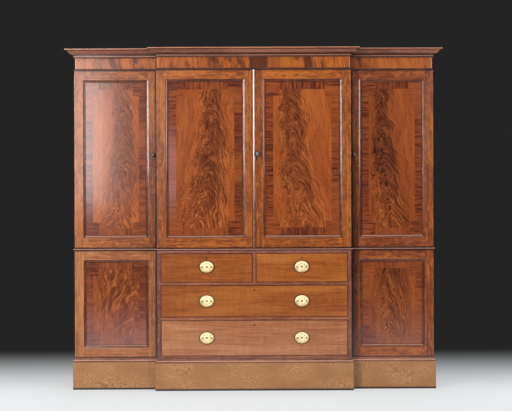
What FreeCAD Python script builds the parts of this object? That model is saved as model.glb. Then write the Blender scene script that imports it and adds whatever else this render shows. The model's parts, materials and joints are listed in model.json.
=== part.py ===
"""A breakfront linen press: panelled doors over drawers in the centre, a cupboard wing on each side.

Millimetres, +Z up, the front faces -Y. The origin is on the floor, in the middle of the outline.
"""
import FreeCAD, Part
import math
import os

from FreeCAD import Placement, Rotation, Vector

# The whole piece
carcase_width = 2244.0
centre_width = 1205.0
centre_depth = 596.0
breakfront_step = 76.0
back_board_thickness = 10.0

# Heights of the bands of the front, from the floor up
plinth_height = 171.0
base_moulding_height = 27.0
bottom_blade_height = 16.0
bottom_drawer_opening = 224.0
middle_drawer_opening = 199.0
short_drawer_opening = 182.0
blade_height = 17.0
chest_top_thickness = 15.0
waist_moulding_height = 14.0
upper_door_height = 1104.0
frieze_bead_height = 12.0
frieze_height = 66.0
cornice_height = 56.0

# How far the mouldings stand out
plinth_projection = 12.0
waist_projection = 8.0
frieze_setback = 6.0
frieze_bead_projection = 8.0
cornice_overhang = 54.0

# Boards of the carcases
plinth_board_thickness = 20.0
frieze_board_thickness = 20.0
dust_board_thickness = 12.0
centre_side_thickness = 22.0
wing_outer_side_thickness = 22.0
wing_inner_side_thickness = 18.0
shelf_thickness = 16.0
back_board_width = 150.0
bearer_height = 18.0
bearer_width = 16.0
shelf_clearance = 2.0
shelf_setback = 40.0
upper_shelf_count = 2
lower_shelf_count = 1

# Linen trays
tray_count = 4
tray_front_height = 55.0
tray_side_height = 95.0
tray_board_thickness = 12.0
tray_bottom_thickness = 9.0
tray_clearance = 2.0
tray_setback = 22.0
tray_depth = 500.0
tray_dip_width_share = 0.55
tray_dip_depth_share = 0.25

# Doors
door_thickness = 22.0
door_gap = 1.0
door_seam = 2.0
door_bottom_clearance = 3.0
door_top_clearance = 2.0
lower_door_clearance = 2.0
meeting_offset = 10.0
stile_width = 55.0
top_rail_width = 56.0
bottom_rail_width = 60.0
tenon_length = 28.0
tenon_thickness = 7.0
tenon_setback = 14.0
tenon_shoulder_share = 0.25
panel_thickness = 8.0
panel_recess = 7.0
panel_housing = 8.0
panel_moulding_width = 16.0
panel_moulding_height = 9.0
astragal_width = 20.0
astragal_height = 7.0
stile_edge_radius = 2.5

# Hinges
hinge_length = 75.0
hinge_leaf_width = 15.0
hinge_leaf_thickness = 2.0
hinge_knuckle_radius = 4.0
hinge_pin_radius = 2.0
hinge_axis_offset = 1.0
hinge_running_gap = 0.4
hinge_middle_share = 0.333
tall_door_hinge_shares = (0.12, 0.5, 0.88)
short_door_hinge_shares = (0.16, 0.84)

# Locks and keyholes
lock_case_width = 46.0
lock_case_length = 70.0
lock_case_depth = 12.0
lock_case_wall = 2.5
door_lock_backset = 26.0
drawer_lock_backset = 27.0
bolt_width = 14.0
bolt_thickness = 5.0
bolt_length = 12.0
bolt_throw = 9.0
bolt_offset = 18.0
bolt_clearance = 0.4
keyhole_radius = 2.6
keyhole_slot_width = 3.0
keyhole_slot_drop = 9.0
escutcheon_rim = 1.8
escutcheon_depth = 3.0
escutcheon_proud = 0.4

# Turned knobs
centre_knob_radius = 17.0
wing_knob_radius = 12.5
knob_rise = 28.0
centre_knob_backset = 31.0
wing_knob_backset = 21.0
knob_stand_off_share = 1.15
knob_neck_share = 0.4
knob_collar_share = 0.6
knob_collar_length_share = 0.15
knob_shank_radius = 4.0
knob_shank_length = 9.0

# Drawers
divider_width = 18.0
blade_depth = 60.0
runner_width = 40.0
guide_height = 20.0
stop_height = 7.0
stop_width = 35.0
stop_depth = 20.0
stop_place_share = 0.72
drawer_length = 540.0
drawer_side_clearance = 1.2
drawer_top_clearance = 1.2
drawer_running_gap = 0.3
drawer_front_thickness = 22.0
drawer_front_lap = 10.0
drawer_side_thickness = 10.0
drawer_side_drop = 5.0
drawer_back_thickness = 9.0
drawer_back_drop = 8.0
drawer_bottom_thickness = 7.0
drawer_bottom_rise = 12.0
drawer_groove = 5.0
cockbead_thickness = 3.2
cockbead_depth = 12.0
cockbead_proud = 2.5
dovetail_pitch = 44.0
dovetail_root_share = 0.5
dovetail_end_share = 0.72

# Oval handles
plate_width = 86.0
plate_height = 70.0
plate_thickness = 1.4
plate_field_share = 0.8
plate_field_rise = 1.6
plate_facets = 24
post_spacing = 54.0
post_radius = 4.6
post_shank_width = 4.5
post_nut_width = 10.0
post_nut_length = 4.0
bail_radius = 2.4
bail_stand_off = 8.0
bail_pivot_inset = 4.0
bail_shoulder = 6.5
bail_corner_radius = 5.0
bail_turn_degrees = 120.0
bail_corner_steps = 3
bail_sweep_steps = 10
bail_hole_gap = 0.3
short_handle_lift = 5.0

# Small round hardware, such as pins and knuckles, is drawn with this many flats
small_round_facets = 8

# One overrun serves all cuts
overrun = 5.0

# Moulding sections: shares of the projection and of the height, from the foot of the back edge.
# A pair is the end of a straight edge; two pairs are a point on an arc and its end.
base_moulding_shares = (
    (1.0, 0.0),
    (1.0, 0.3),
    ((0.62, 0.42), (0.45, 0.72)),
    (0.3, 0.72),
    ((0.42, 0.87), (0.25, 1.0)),
    (0.0, 1.0),
)
waist_moulding_shares = (
    (0.4, 0.0),
    (0.4, 0.14),
    ((1.0, 0.5), (0.4, 0.86)),
    (0.4, 1.0),
    (0.0, 1.0),
)
frieze_bead_shares = (
    (0.45, 0.0),
    (0.45, 0.26),
    (0.6, 0.3),
    ((1.0, 0.58), (0.6, 0.86)),
    (0.3, 1.0),
    (0.0, 1.0),
)
cornice_shares = (
    (0.13, 0.0),
    ((0.18, 0.055), (0.13, 0.11)),
    (0.07, 0.11),
    (0.07, 0.17),
    (0.13, 0.17),
    (0.13, 0.36),
    (0.36, 0.39),
    (0.36, 0.44),
    ((0.53, 0.5), (0.64, 0.64)),
    ((0.74, 0.78), (0.94, 0.86)),
    (1.0, 0.86),
    (1.0, 1.0),
    (0.0, 1.0),
)
panel_moulding_shares = (
    (1.0, 0.0),
    (1.0, 0.2),
    (0.88, 0.2),
    ((0.75, 0.45), (0.46, 0.58)),
    (0.46, 0.66),
    ((0.23, 0.8), (0.0, 0.88)),
)
astragal_shares = (
    (1.0, 0.0),
    (1.0, 0.5),
    ((0.75, 0.8), (0.5, 1.0)),
    ((0.25, 0.8), (0.0, 0.5)),
)

# Planes of the fronts
half_carcase = carcase_width / 2
half_centre = centre_width / 2
back_y = (centre_depth + cornice_overhang) / 2
centre_face_y = back_y - centre_depth
wing_face_y = centre_face_y + breakfront_step
inside_back_y = back_y - back_board_thickness

# Levels
base_top = plinth_height + base_moulding_height
bottom_drawer_floor = base_top + bottom_blade_height
middle_drawer_floor = bottom_drawer_floor + bottom_drawer_opening + blade_height
short_drawer_floor = middle_drawer_floor + middle_drawer_opening + blade_height
chest_ceiling = short_drawer_floor + short_drawer_opening
waist_level = chest_ceiling + chest_top_thickness
press_floor = waist_level + waist_moulding_height
upper_door_bottom = press_floor + door_bottom_clearance
upper_door_top = upper_door_bottom + upper_door_height
press_ceiling = upper_door_top + door_top_clearance
frieze_bottom = press_ceiling + frieze_bead_height
cornice_bottom = frieze_bottom + frieze_height
overall_height = cornice_bottom + cornice_height
lower_door_bottom = base_top + lower_door_clearance
lower_door_top = waist_level - lower_door_clearance

# Places along the front
drawer_opening_half = half_centre - centre_side_thickness
handle_x = (drawer_opening_half + divider_width / 2) / 2
wing_inner_x = half_centre + wing_inner_side_thickness
wing_outer_x = half_carcase - wing_outer_side_thickness
wing_door_free_x = half_centre + door_seam
left_meeting_x = -meeting_offset - door_seam / 2
right_meeting_x = -meeting_offset + door_seam / 2

parts = {}


def add(node, *solids):
    """Put solids into a named node."""
    parts.setdefault(node, []).extend(solids)


def block(xs, ys, zs):
    """A box between two values on each axis, given in any order."""
    low = Vector(min(xs), min(ys), min(zs))
    high = Vector(max(xs), max(ys), max(zs))
    size = high - low
    return Part.makeBox(size.x, size.y, size.z, low)


def prism(corners, bottom, top):
    """An upright prism on a plan polygon."""
    outline = [Vector(x, y, bottom) for x, y in corners]
    face = Part.Face(Part.makePolygon(outline + outline[:1]))
    return face.extrude(Vector(0, 0, top - bottom))


def ring(radius, centre, spoke, across, facets):
    """The closed outline of a regular polygon round a centre, with flats square to spoke and across."""
    corners = []
    for index in range(facets):
        angle = math.tau * index / facets + math.pi / facets
        corners.append(centre + spoke * (radius * math.cos(angle)) + across * (radius * math.sin(angle)))
    return Part.makePolygon(corners + corners[:1])


def rod(radius, start, end):
    """A rod with flats along one of the axes, its corners on the radius."""
    along = end - start
    axis = along / along.Length
    spoke = Vector(axis.y, axis.z, axis.x)
    return Part.Face(ring(radius, start, spoke, axis.cross(spoke), small_round_facets)).extrude(along)


def bore(radius, start, end):
    """A bore with flats along one of the axes, its flats on the radius."""
    return rod(radius / math.cos(math.pi / small_round_facets), start, end)


def cylinder_y(radius, x, z, front, back):
    """A cylinder that runs from front to back."""
    return Part.makeCylinder(radius, back - front, Vector(x, front, z), Vector(0, 1, 0))


def cut_all(solid, tools):
    """The solid with every tool taken out of it."""
    return solid.cut(Part.makeCompound(tools)).Solids[0]


def round_upright_edge(solid, x, y, radius):
    """Round the upright edge of a box that stands at x, y."""
    edges = []
    for edge in solid.Edges:
        middle = edge.CenterOfMass
        if abs(middle.x - x) < radius and abs(middle.y - y) < radius:
            edges.append(edge)
    return solid.makeFillet(radius, edges)


def section_wire(shares, reach, height, at):
    """A closed moulding section; `at` turns a reach and a height into a point."""
    start = at(0, 0)
    edges = []
    for step in shares:
        if isinstance(step[0], tuple):
            middle = at(step[0][0] * reach, step[0][1] * height)
            end = at(step[1][0] * reach, step[1][1] * height)
            edges.append(Part.Arc(start, middle, end).toShape())
        else:
            end = at(step[0] * reach, step[1] * height)
            edges.append(Part.LineSegment(start, end).toShape())
        start = end
    edges.append(Part.LineSegment(start, at(0, 0)).toShape())
    return Part.Wire(edges)


def mitred_moulding(near, far, shares, height, bottom):
    """Lengths of moulding along a plan line, mitred where they meet.

    near and far are the plan points of the back and of the furthest edge of the moulding.
    """
    lengths = []
    for index in range(len(near) - 1):
        start = Vector(near[index][0], near[index][1], bottom)
        end = Vector(near[index + 1][0], near[index + 1][1], bottom)
        along = (end - start).normalize()
        across = Vector(far[index][0], far[index][1], bottom) - start
        out = Vector(-along.y, along.x, 0)
        if out.dot(across) < 0:
            out = -out
        reach = out.dot(across)
        foot = start - along * reach

        def at(distance, rise):
            return foot + out * distance + Vector(0, 0, rise)

        section = Part.Face(section_wire(shares, reach, height, at))
        run = section.extrude(along * ((end - start).Length + reach + reach))
        corners = [near[index], far[index], far[index + 1], near[index + 1]]
        lengths.append(run.common(prism(corners, bottom, bottom + height)).Solids[0])
    return lengths


def mitred_boards(near, far, bottom, top):
    """Boards along a plan line, mitred where they meet."""
    boards = []
    for index in range(len(near) - 1):
        corners = [near[index], far[index], far[index + 1], near[index + 1]]
        boards.append(prism(corners, bottom, top))
    return boards


def front_line(out):
    """The plan line of sides and breakfront, moved out by a distance."""
    side_x = half_carcase + out
    return_x = half_centre + out
    wing_y = wing_face_y - out
    centre_y = centre_face_y - out
    left = [(-side_x, back_y), (-side_x, wing_y), (-return_x, wing_y), (-return_x, centre_y)]
    return left + [(-x, y) for x, y in reversed(left)]


def rectangle(x_low, x_high, z_low, z_high, inset):
    """The closed outline of an upright rectangle, moved in by a distance."""
    left = x_low + inset
    right = x_high - inset
    foot = z_low + inset
    head = z_high - inset
    return [(left, foot), (right, foot), (right, head), (left, head), (left, foot)]


def stood_up(solids, y):
    """Solids drawn on a plan, turned so that the plan stands upright at y and faces the front."""
    turn = Placement(Vector(0, y, 0), Rotation(Vector(1, 0, 0), 90))
    turned = []
    for solid in solids:
        moved = solid.copy()
        moved.Placement = turn.multiply(moved.Placement)
        turned.append(moved)
    return turned


def keyhole(x, z, front, back, grow):
    """The outline of a keyhole as a solid from front to back, grown all round."""
    half_slot = keyhole_slot_width / 2 + grow
    head = rod(keyhole_radius + grow, Vector(x, front, z), Vector(x, back, z))
    slot = block((x - half_slot, x + half_slot), (front, back), (z - keyhole_slot_drop - grow, z))
    return head.fuse(slot).removeSplitter().Solids[0]


def escutcheon(x, z, face_y):
    """The inlaid brass line round a keyhole, with the space that it fills."""
    front = face_y - escutcheon_proud
    back = face_y + escutcheon_depth
    outer = keyhole(x, z, front, back, escutcheon_rim)
    inner = keyhole(x, z, front - overrun, back + overrun, 0)
    return outer.cut(inner).Solids[0], outer


class Door:
    """Where a door stands, which edge it hangs on and what it carries."""

    def __init__(self, name, hinge_x, free_x, face_y, bottom, top, hinge_shares):
        self.name = name
        self.hinge_x = hinge_x
        self.free_x = free_x
        self.face_y = face_y
        self.bottom = bottom
        self.top = top
        self.hinge_levels = [bottom + share * (top - bottom) for share in hinge_shares]
        self.inward = math.copysign(1, free_x - hinge_x)
        self.back = face_y + door_thickness
        self.axis_x = hinge_x - self.inward * hinge_axis_offset
        self.axis_y = self.back + door_gap / 2
        self.middle = (bottom + top) / 2

    def on_axis(self, level):
        """The point of the hinge axis at a level."""
        return Vector(self.axis_x, self.axis_y, level)


def upper_door(name, hinge_x, free_x, face_y):
    """A door of the upper stage."""
    return Door(name, hinge_x, free_x, face_y, upper_door_bottom, upper_door_top, tall_door_hinge_shares)


def lower_door(name, hinge_x, free_x):
    """A door of a lower wing."""
    return Door(
        name, hinge_x, free_x, wing_face_y, lower_door_bottom, lower_door_top, short_door_hinge_shares
    )


left_centre = upper_door("left_centre_door", -half_centre, left_meeting_x, centre_face_y)
right_centre = upper_door("right_centre_door", half_centre, right_meeting_x, centre_face_y)
left_upper = upper_door("left_upper_door", -half_carcase, -wing_door_free_x, wing_face_y)
right_upper = upper_door("right_upper_door", half_carcase, wing_door_free_x, wing_face_y)
left_lower = lower_door("left_lower_door", -half_carcase, -wing_door_free_x)
right_lower = lower_door("right_lower_door", half_carcase, wing_door_free_x)
doors = (left_centre, right_centre, left_upper, right_upper, left_lower, right_lower)
locked_doors = (right_centre, left_upper, right_upper)


# Butt hinges
def hinge_leaf(door, level, plate_front, plate_back, knuckle_spans):
    """One leaf of a hinge: a plate and its knuckles."""
    half = hinge_length / 2
    reach = hinge_knuckle_radius + hinge_running_gap
    edge_x = door.axis_x + door.inward * hinge_leaf_width
    depth = (plate_front, plate_back)
    leaf = block((door.axis_x + door.inward * reach, edge_x), depth, (level - half, level + half))
    for low, high in knuckle_spans:
        tab = block((door.axis_x, edge_x), depth, (low, high))
        knuckle = rod(hinge_knuckle_radius, door.on_axis(low), door.on_axis(high))
        leaf = leaf.fuse([tab, knuckle])
    return leaf


def door_leaf(door, level):
    """The leaf on the door: the middle knuckle turns on the pin."""
    half_knuckle = hinge_length * hinge_middle_share / 2 - hinge_running_gap
    low = level - half_knuckle
    high = level + half_knuckle
    leaf = hinge_leaf(door, level, door.back - hinge_leaf_thickness, door.back, [(low, high)])
    hole = bore(hinge_pin_radius + hinge_running_gap, door.on_axis(low), door.on_axis(high))
    return leaf.cut(hole).removeSplitter().Solids[0]


def carcase_leaf(door, level):
    """The leaf on the carcase: the top and bottom knuckles, with the pin fast in them."""
    half_knuckle = hinge_length * hinge_middle_share / 2
    half = hinge_length / 2
    edge = door.back + door_gap
    spans = [(level - half, level - half_knuckle), (level + half_knuckle, level + half)]
    leaf = hinge_leaf(door, level, edge, edge + hinge_leaf_thickness, spans)
    pin = rod(hinge_pin_radius, door.on_axis(level - half_knuckle), door.on_axis(level + half_knuckle))
    return leaf.fuse(pin).removeSplitter().Solids[0]


def knuckle_room(door, level):
    """The space that the knuckles turn in."""
    half = hinge_length / 2 + hinge_running_gap
    radius = hinge_knuckle_radius + hinge_running_gap
    return bore(radius, door.on_axis(level - half), door.on_axis(level + half))


def hinge_cuts(door, leaf_of):
    """What the hinges of a door take out of the board that they are let into."""
    cuts = []
    for level in door.hinge_levels:
        cuts.append(leaf_of(door, level))
        cuts.append(knuckle_room(door, level))
    return cuts


def make_carcase_hinges():
    """The fixed leaves of all the hinges, with their pins."""
    for door in doors:
        for level in door.hinge_levels:
            add("carcase_hinge_leaves", carcase_leaf(door, level))


# Locks
def door_bolt(door, throw):
    """A door's lock bolt, shot by a distance."""
    end = door.free_x + door.inward * throw
    level = door.middle + bolt_offset
    half = bolt_width / 2
    middle_y = door.back - lock_case_depth / 2
    return block(
        (end, end - door.inward * bolt_length),
        (middle_y - bolt_thickness / 2, middle_y + bolt_thickness / 2),
        (level - half, level + half),
    )


def door_bolt_room(door):
    """The space that a door's bolt slides in, from rest to full throw."""
    level = door.middle + bolt_offset
    half = bolt_width / 2 + bolt_clearance
    half_thickness = bolt_thickness / 2 + bolt_clearance
    middle_y = door.back - lock_case_depth / 2
    near = door.free_x - door.inward * (bolt_length + bolt_clearance)
    far = door.free_x + door.inward * (bolt_throw + door_seam)
    depth = (middle_y - half_thickness, middle_y + half_thickness)
    return block((near, far), depth, (level - half, level + half))


def door_lock_case(door):
    """The block of a door's lock, let into the back of the stile."""
    half = lock_case_length / 2
    return block(
        (door.free_x, door.free_x - door.inward * lock_case_width),
        (door.back - lock_case_depth, door.back),
        (door.middle - half, door.middle + half),
    )


def drawer_bolt(x, top, throw):
    """A drawer's lock bolt, shot upward by a distance."""
    half = bolt_width / 2
    centre_x = x + bolt_offset
    middle_y = centre_face_y + drawer_front_thickness - lock_case_depth / 2
    return block(
        (centre_x - half, centre_x + half),
        (middle_y - bolt_thickness / 2, middle_y + bolt_thickness / 2),
        (top + throw - bolt_length, top + throw),
    )


def drawer_bolt_room(x, top):
    """The space that a drawer's bolt slides in, from rest to full throw."""
    half = bolt_width / 2 + bolt_clearance
    half_thickness = bolt_thickness / 2 + bolt_clearance
    centre_x = x + bolt_offset
    middle_y = centre_face_y + drawer_front_thickness - lock_case_depth / 2
    return block(
        (centre_x - half, centre_x + half),
        (middle_y - half_thickness, middle_y + half_thickness),
        (top - bolt_length - bolt_clearance, top + bolt_throw + door_seam),
    )


def drawer_lock_case(x, top):
    """The block of a drawer's lock, let into the back of the front."""
    half = lock_case_length / 2
    back = centre_face_y + drawer_front_thickness
    return block((x - half, x + half), (back - lock_case_depth, back), (top - lock_case_width, top))


# Knobs
def knob(door, radius, backset):
    """A turned ball knob on a collar, with its shank, and the hole that the shank fills."""
    x = door.free_x - door.inward * backset
    level = door.middle + knob_rise
    face_y = door.face_y
    collar_radius = radius * knob_collar_share
    collar_front = face_y - radius * knob_collar_length_share
    centre_y = face_y - radius * knob_stand_off_share
    collar = cylinder_y(collar_radius, x, level, collar_front, face_y)
    neck = Part.makeCone(
        collar_radius,
        radius * knob_neck_share,
        collar_front - centre_y,
        Vector(x, collar_front, level),
        Vector(0, -1, 0),
    )
    head = Part.makeSphere(radius, Vector(x, centre_y, level))
    shank = cylinder_y(knob_shank_radius, x, level, collar_front, face_y + knob_shank_length)
    solid = collar.fuse([neck, head, shank]).removeSplitter().Solids[0]
    hole = cylinder_y(knob_shank_radius, x, level, face_y - overrun, face_y + knob_shank_length)
    return solid, hole


# Doors
def door_frame_and_panel(door, cuts):
    """Two stiles, two tenoned rails, a panel housed in them and its mitred moulding."""
    low_x = min(door.hinge_x, door.free_x)
    high_x = max(door.hinge_x, door.free_x)
    inner_low = low_x + stile_width
    inner_high = high_x - stile_width
    if door is right_centre:
        inner_low = inner_low + meeting_offset
    if door is left_centre:
        inner_high = inner_high + meeting_offset
    panel_low = door.bottom + bottom_rail_width
    panel_high = door.top - top_rail_width
    depth = (door.face_y, door.back)
    panel_front = door.face_y + panel_recess
    panel = block(
        (inner_low - panel_housing, inner_high + panel_housing),
        (panel_front, panel_front + panel_thickness),
        (panel_low - panel_housing, panel_high + panel_housing),
    )
    tenon_front = door.face_y + tenon_setback - tenon_thickness
    tenon_depth = (tenon_front, tenon_front + tenon_thickness)
    rails = []
    for rail_low, rail_high in ((door.bottom, panel_low), (panel_high, door.top)):
        shoulder = (rail_high - rail_low) * tenon_shoulder_share
        tenon = block(
            (inner_low - tenon_length, inner_high + tenon_length),
            tenon_depth,
            (rail_low + shoulder, rail_high - shoulder),
        )
        rail = block((inner_low, inner_high), depth, (rail_low, rail_high)).fuse(tenon)
        rails.append(rail.removeSplitter().Solids[0])
    stiles = []
    for outer, inner in ((low_x, inner_low), (high_x, inner_high)):
        stile = block((outer, inner), depth, (door.bottom, door.top))
        stile = round_upright_edge(stile, outer, door.face_y, stile_edge_radius)
        stiles.append(cut_all(stile, rails + [panel] + cuts))
    rails = [cut_all(rail, [panel]) for rail in rails]
    near = rectangle(inner_low, inner_high, panel_low, panel_high, 0)
    far = rectangle(inner_low, inner_high, panel_low, panel_high, panel_moulding_width)
    moulding = mitred_moulding(near, far, panel_moulding_shares, panel_moulding_height, 0)
    add(door.name + "_frame", *stiles, *rails, *stood_up(moulding, panel_front))
    add(door.name + "_panel", panel)


def make_door(door):
    """A whole door with its hinge leaves and, where it has them, its lock and knob."""
    cuts = hinge_cuts(door, door_leaf)
    leaves = [door_leaf(door, level) for level in door.hinge_levels]
    add(door.name + "_fittings", *leaves)
    if door in locked_doors:
        keyhole_x = door.free_x - door.inward * door_lock_backset
        case = door_lock_case(door)
        hole = keyhole(
            keyhole_x, door.middle, door.face_y - overrun, door.back - lock_case_depth + lock_case_wall, 0
        )
        line, line_room = escutcheon(keyhole_x, door.middle, door.face_y)
        add(door.name + "_fittings", cut_all(case, [door_bolt_room(door), hole]), line)
        add(door.name + "_bolt", door_bolt(door, 0))
        is_centre = door is right_centre
        radius = centre_knob_radius if is_centre else wing_knob_radius
        backset = centre_knob_backset if is_centre else wing_knob_backset
        turned, shank_hole = knob(door, radius, backset)
        add(door.name + "_fittings", turned)
        cuts = cuts + [case, hole, line_room, shank_hole]
    if door is left_centre:
        cuts = cuts + [door_bolt_room(right_centre)]
    door_frame_and_panel(door, cuts)


def make_astragal():
    """The bead that covers the meeting of the centre doors, planted on the right-hand one."""
    low = (right_meeting_x, upper_door_bottom)
    high = (right_meeting_x, upper_door_top)
    near = [low, high]
    far = [(x + astragal_width, z) for x, z in near]
    bead = mitred_moulding(near, far, astragal_shares, astragal_height, 0)
    add("right_centre_door_frame", *stood_up(bead, centre_face_y))


# Handles
def oval_layer(x, z, share, rise):
    """An oval plate on the drawer front, a share of the full plate's size."""
    centre = Vector(x, centre_face_y, z)
    half_across = Vector(share * plate_width / 2, 0, 0)
    half_up = Vector(0, 0, share * plate_height / 2)
    outline = ring(1, centre, half_across, half_up, plate_facets)
    return Part.Face(outline).extrude(Vector(0, -rise, 0))


def handle_plate(x, z):
    """The oval backplate: a flat border and a raised field, with the post holes."""
    border = oval_layer(x, z, 1, plate_thickness)
    field = oval_layer(x, z, plate_field_share, plate_thickness + plate_field_rise)
    plate = border.fuse(field).removeSplitter()
    return cut_all(plate, [post_shank(post_x, z) for post_x in post_places(x)])


def post_places(x):
    """The two posts of a handle."""
    return (x - post_spacing / 2, x + post_spacing / 2)


def post_shank(x, z):
    """The square shank of a post, from its head through the drawer front."""
    front = centre_face_y - plate_thickness - plate_field_rise
    half = post_shank_width / 2
    ys = (front, centre_face_y + drawer_front_thickness + post_nut_length)
    return block((x - half, x + half), ys, (z - half, z + half))


def handle_post(x, z):
    """A post with a round head, a cross hole for the bail and a square nut on its shank."""
    plate_face = centre_face_y - plate_thickness - plate_field_rise
    tip = centre_face_y - bail_stand_off - post_radius
    head = rod(post_radius, Vector(x, tip, z), Vector(x, plate_face, z))
    middle = Vector(x, centre_face_y - bail_stand_off, z)
    reach = Vector(post_radius + overrun, 0, 0)
    hole = bore(bail_radius + bail_hole_gap, middle - reach, middle + reach)
    back = centre_face_y + drawer_front_thickness
    half = post_nut_width / 2
    nut = block((x - half, x + half), (back, back + post_nut_length), (z - half, z + half))
    return head.cut(hole).fuse([post_shank(x, z), nut]).removeSplitter().Solids[0]


def bail_stations():
    """The middle line of a bail, from pivot to pivot: places across and up from its axis, and headings."""
    turn = math.radians(bail_turn_degrees)
    corner = bail_corner_radius
    shoulder = post_spacing / 2 + bail_shoulder
    sweep = corner + shoulder / math.sin(turn)
    sweep_rise = -corner - (sweep - corner) * math.cos(turn)
    stations = [(post_spacing / 2 - bail_pivot_inset, 0, 0)]
    for index in range(bail_corner_steps + 1):
        angle = turn * index / bail_corner_steps
        stations.append((shoulder + corner * math.sin(angle), corner * math.cos(angle) - corner, angle))
    for index in range(1, bail_sweep_steps // 2 + 1):
        angle = turn + (math.pi - turn) * 2 * index / bail_sweep_steps
        stations.append((sweep * math.sin(angle), sweep_rise + sweep * math.cos(angle), angle))
    mirrored = [(-across, up, math.tau - angle) for across, up, angle in reversed(stations[:-1])]
    return stations + mirrored


def bail(x, z):
    """A drop bail of wire with flats: pivots in the posts, a turn at each shoulder, one sweep below."""
    sections = []
    for across, up, angle in bail_stations():
        centre = Vector(x + across, centre_face_y - bail_stand_off, z + up)
        normal = Vector(math.sin(angle), 0, math.cos(angle))
        sections.append(ring(bail_radius, centre, normal, Vector(0, 1, 0), small_round_facets))
    return Part.makeLoft(sections, True, True)


# Drawers
class Drawer:
    """The opening that a drawer fills, with its handles and keyhole."""

    def __init__(self, name, low_x, high_x, floor, opening, handle_places, handle_lift):
        self.name = name
        self.low_x = low_x + drawer_side_clearance
        self.high_x = high_x - drawer_side_clearance
        self.bottom = floor + drawer_running_gap
        self.top = floor + opening - drawer_top_clearance
        self.handle_places = handle_places
        self.handle_z = floor + opening / 2 + handle_lift
        self.keyhole_x = (low_x + high_x) / 2
        self.keyhole_z = self.top - drawer_lock_backset


half_divider = divider_width / 2
bottom_drawer = Drawer(
    "bottom_drawer", -drawer_opening_half, drawer_opening_half,
    bottom_drawer_floor, bottom_drawer_opening, (-handle_x, handle_x), 0,
)
middle_drawer = Drawer(
    "middle_drawer", -drawer_opening_half, drawer_opening_half,
    middle_drawer_floor, middle_drawer_opening, (-handle_x, handle_x), 0,
)
left_short_drawer = Drawer(
    "left_short_drawer", -drawer_opening_half, -half_divider,
    short_drawer_floor, short_drawer_opening, (-handle_x,), short_handle_lift,
)
right_short_drawer = Drawer(
    "right_short_drawer", half_divider, drawer_opening_half,
    short_drawer_floor, short_drawer_opening, (handle_x,), short_handle_lift,
)
drawers = (bottom_drawer, middle_drawer, left_short_drawer, right_short_drawer)
bail_names = {
    bottom_drawer: ("bottom_drawer_left_bail", "bottom_drawer_right_bail"),
    middle_drawer: ("middle_drawer_left_bail", "middle_drawer_right_bail"),
    left_short_drawer: ("left_short_drawer_bail",),
    right_short_drawer: ("right_short_drawer_bail",),
}


def dovetails(root_y, end_y, low_z, high_z):
    """The edge of a drawer side with its tails, as points from the bottom to the top."""
    count = max(2, round((high_z - low_z) / dovetail_pitch))
    pitch = (high_z - low_z) / count
    root = pitch * dovetail_root_share / 2
    end = pitch * dovetail_end_share / 2
    points = [(root_y, low_z)]
    for index in range(count):
        middle = low_z + pitch * (index + 1) - pitch / 2
        points += [(root_y, middle - root), (end_y, middle - end)]
        points += [(end_y, middle + end), (root_y, middle + root)]
    return points + [(root_y, high_z)]


def drawer_side(drawer, outer_x, inner_x, bottom_panel):
    """A drawer side: lapped tails at the front, through tails at the back, a groove for the bottom."""
    front_root = centre_face_y + drawer_front_thickness
    front_end = centre_face_y + drawer_front_lap
    back_end = centre_face_y + drawer_length
    back_root = back_end - drawer_back_thickness
    top = drawer.top - drawer_side_drop
    back_foot = drawer.bottom + drawer_bottom_rise + drawer_bottom_thickness
    outline = dovetails(front_root, front_end, drawer.bottom, top)[::-1]
    outline += [(back_end, drawer.bottom), (back_end, back_foot)]
    outline += dovetails(back_root, back_end, back_foot, top - drawer_back_drop)
    outline += [(back_root, top)]
    points = [Vector(outer_x, y, z) for y, z in outline]
    face = Part.Face(Part.makePolygon(points + points[:1]))
    return cut_all(face.extrude(Vector(inner_x - outer_x, 0, 0)), [bottom_panel])


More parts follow.
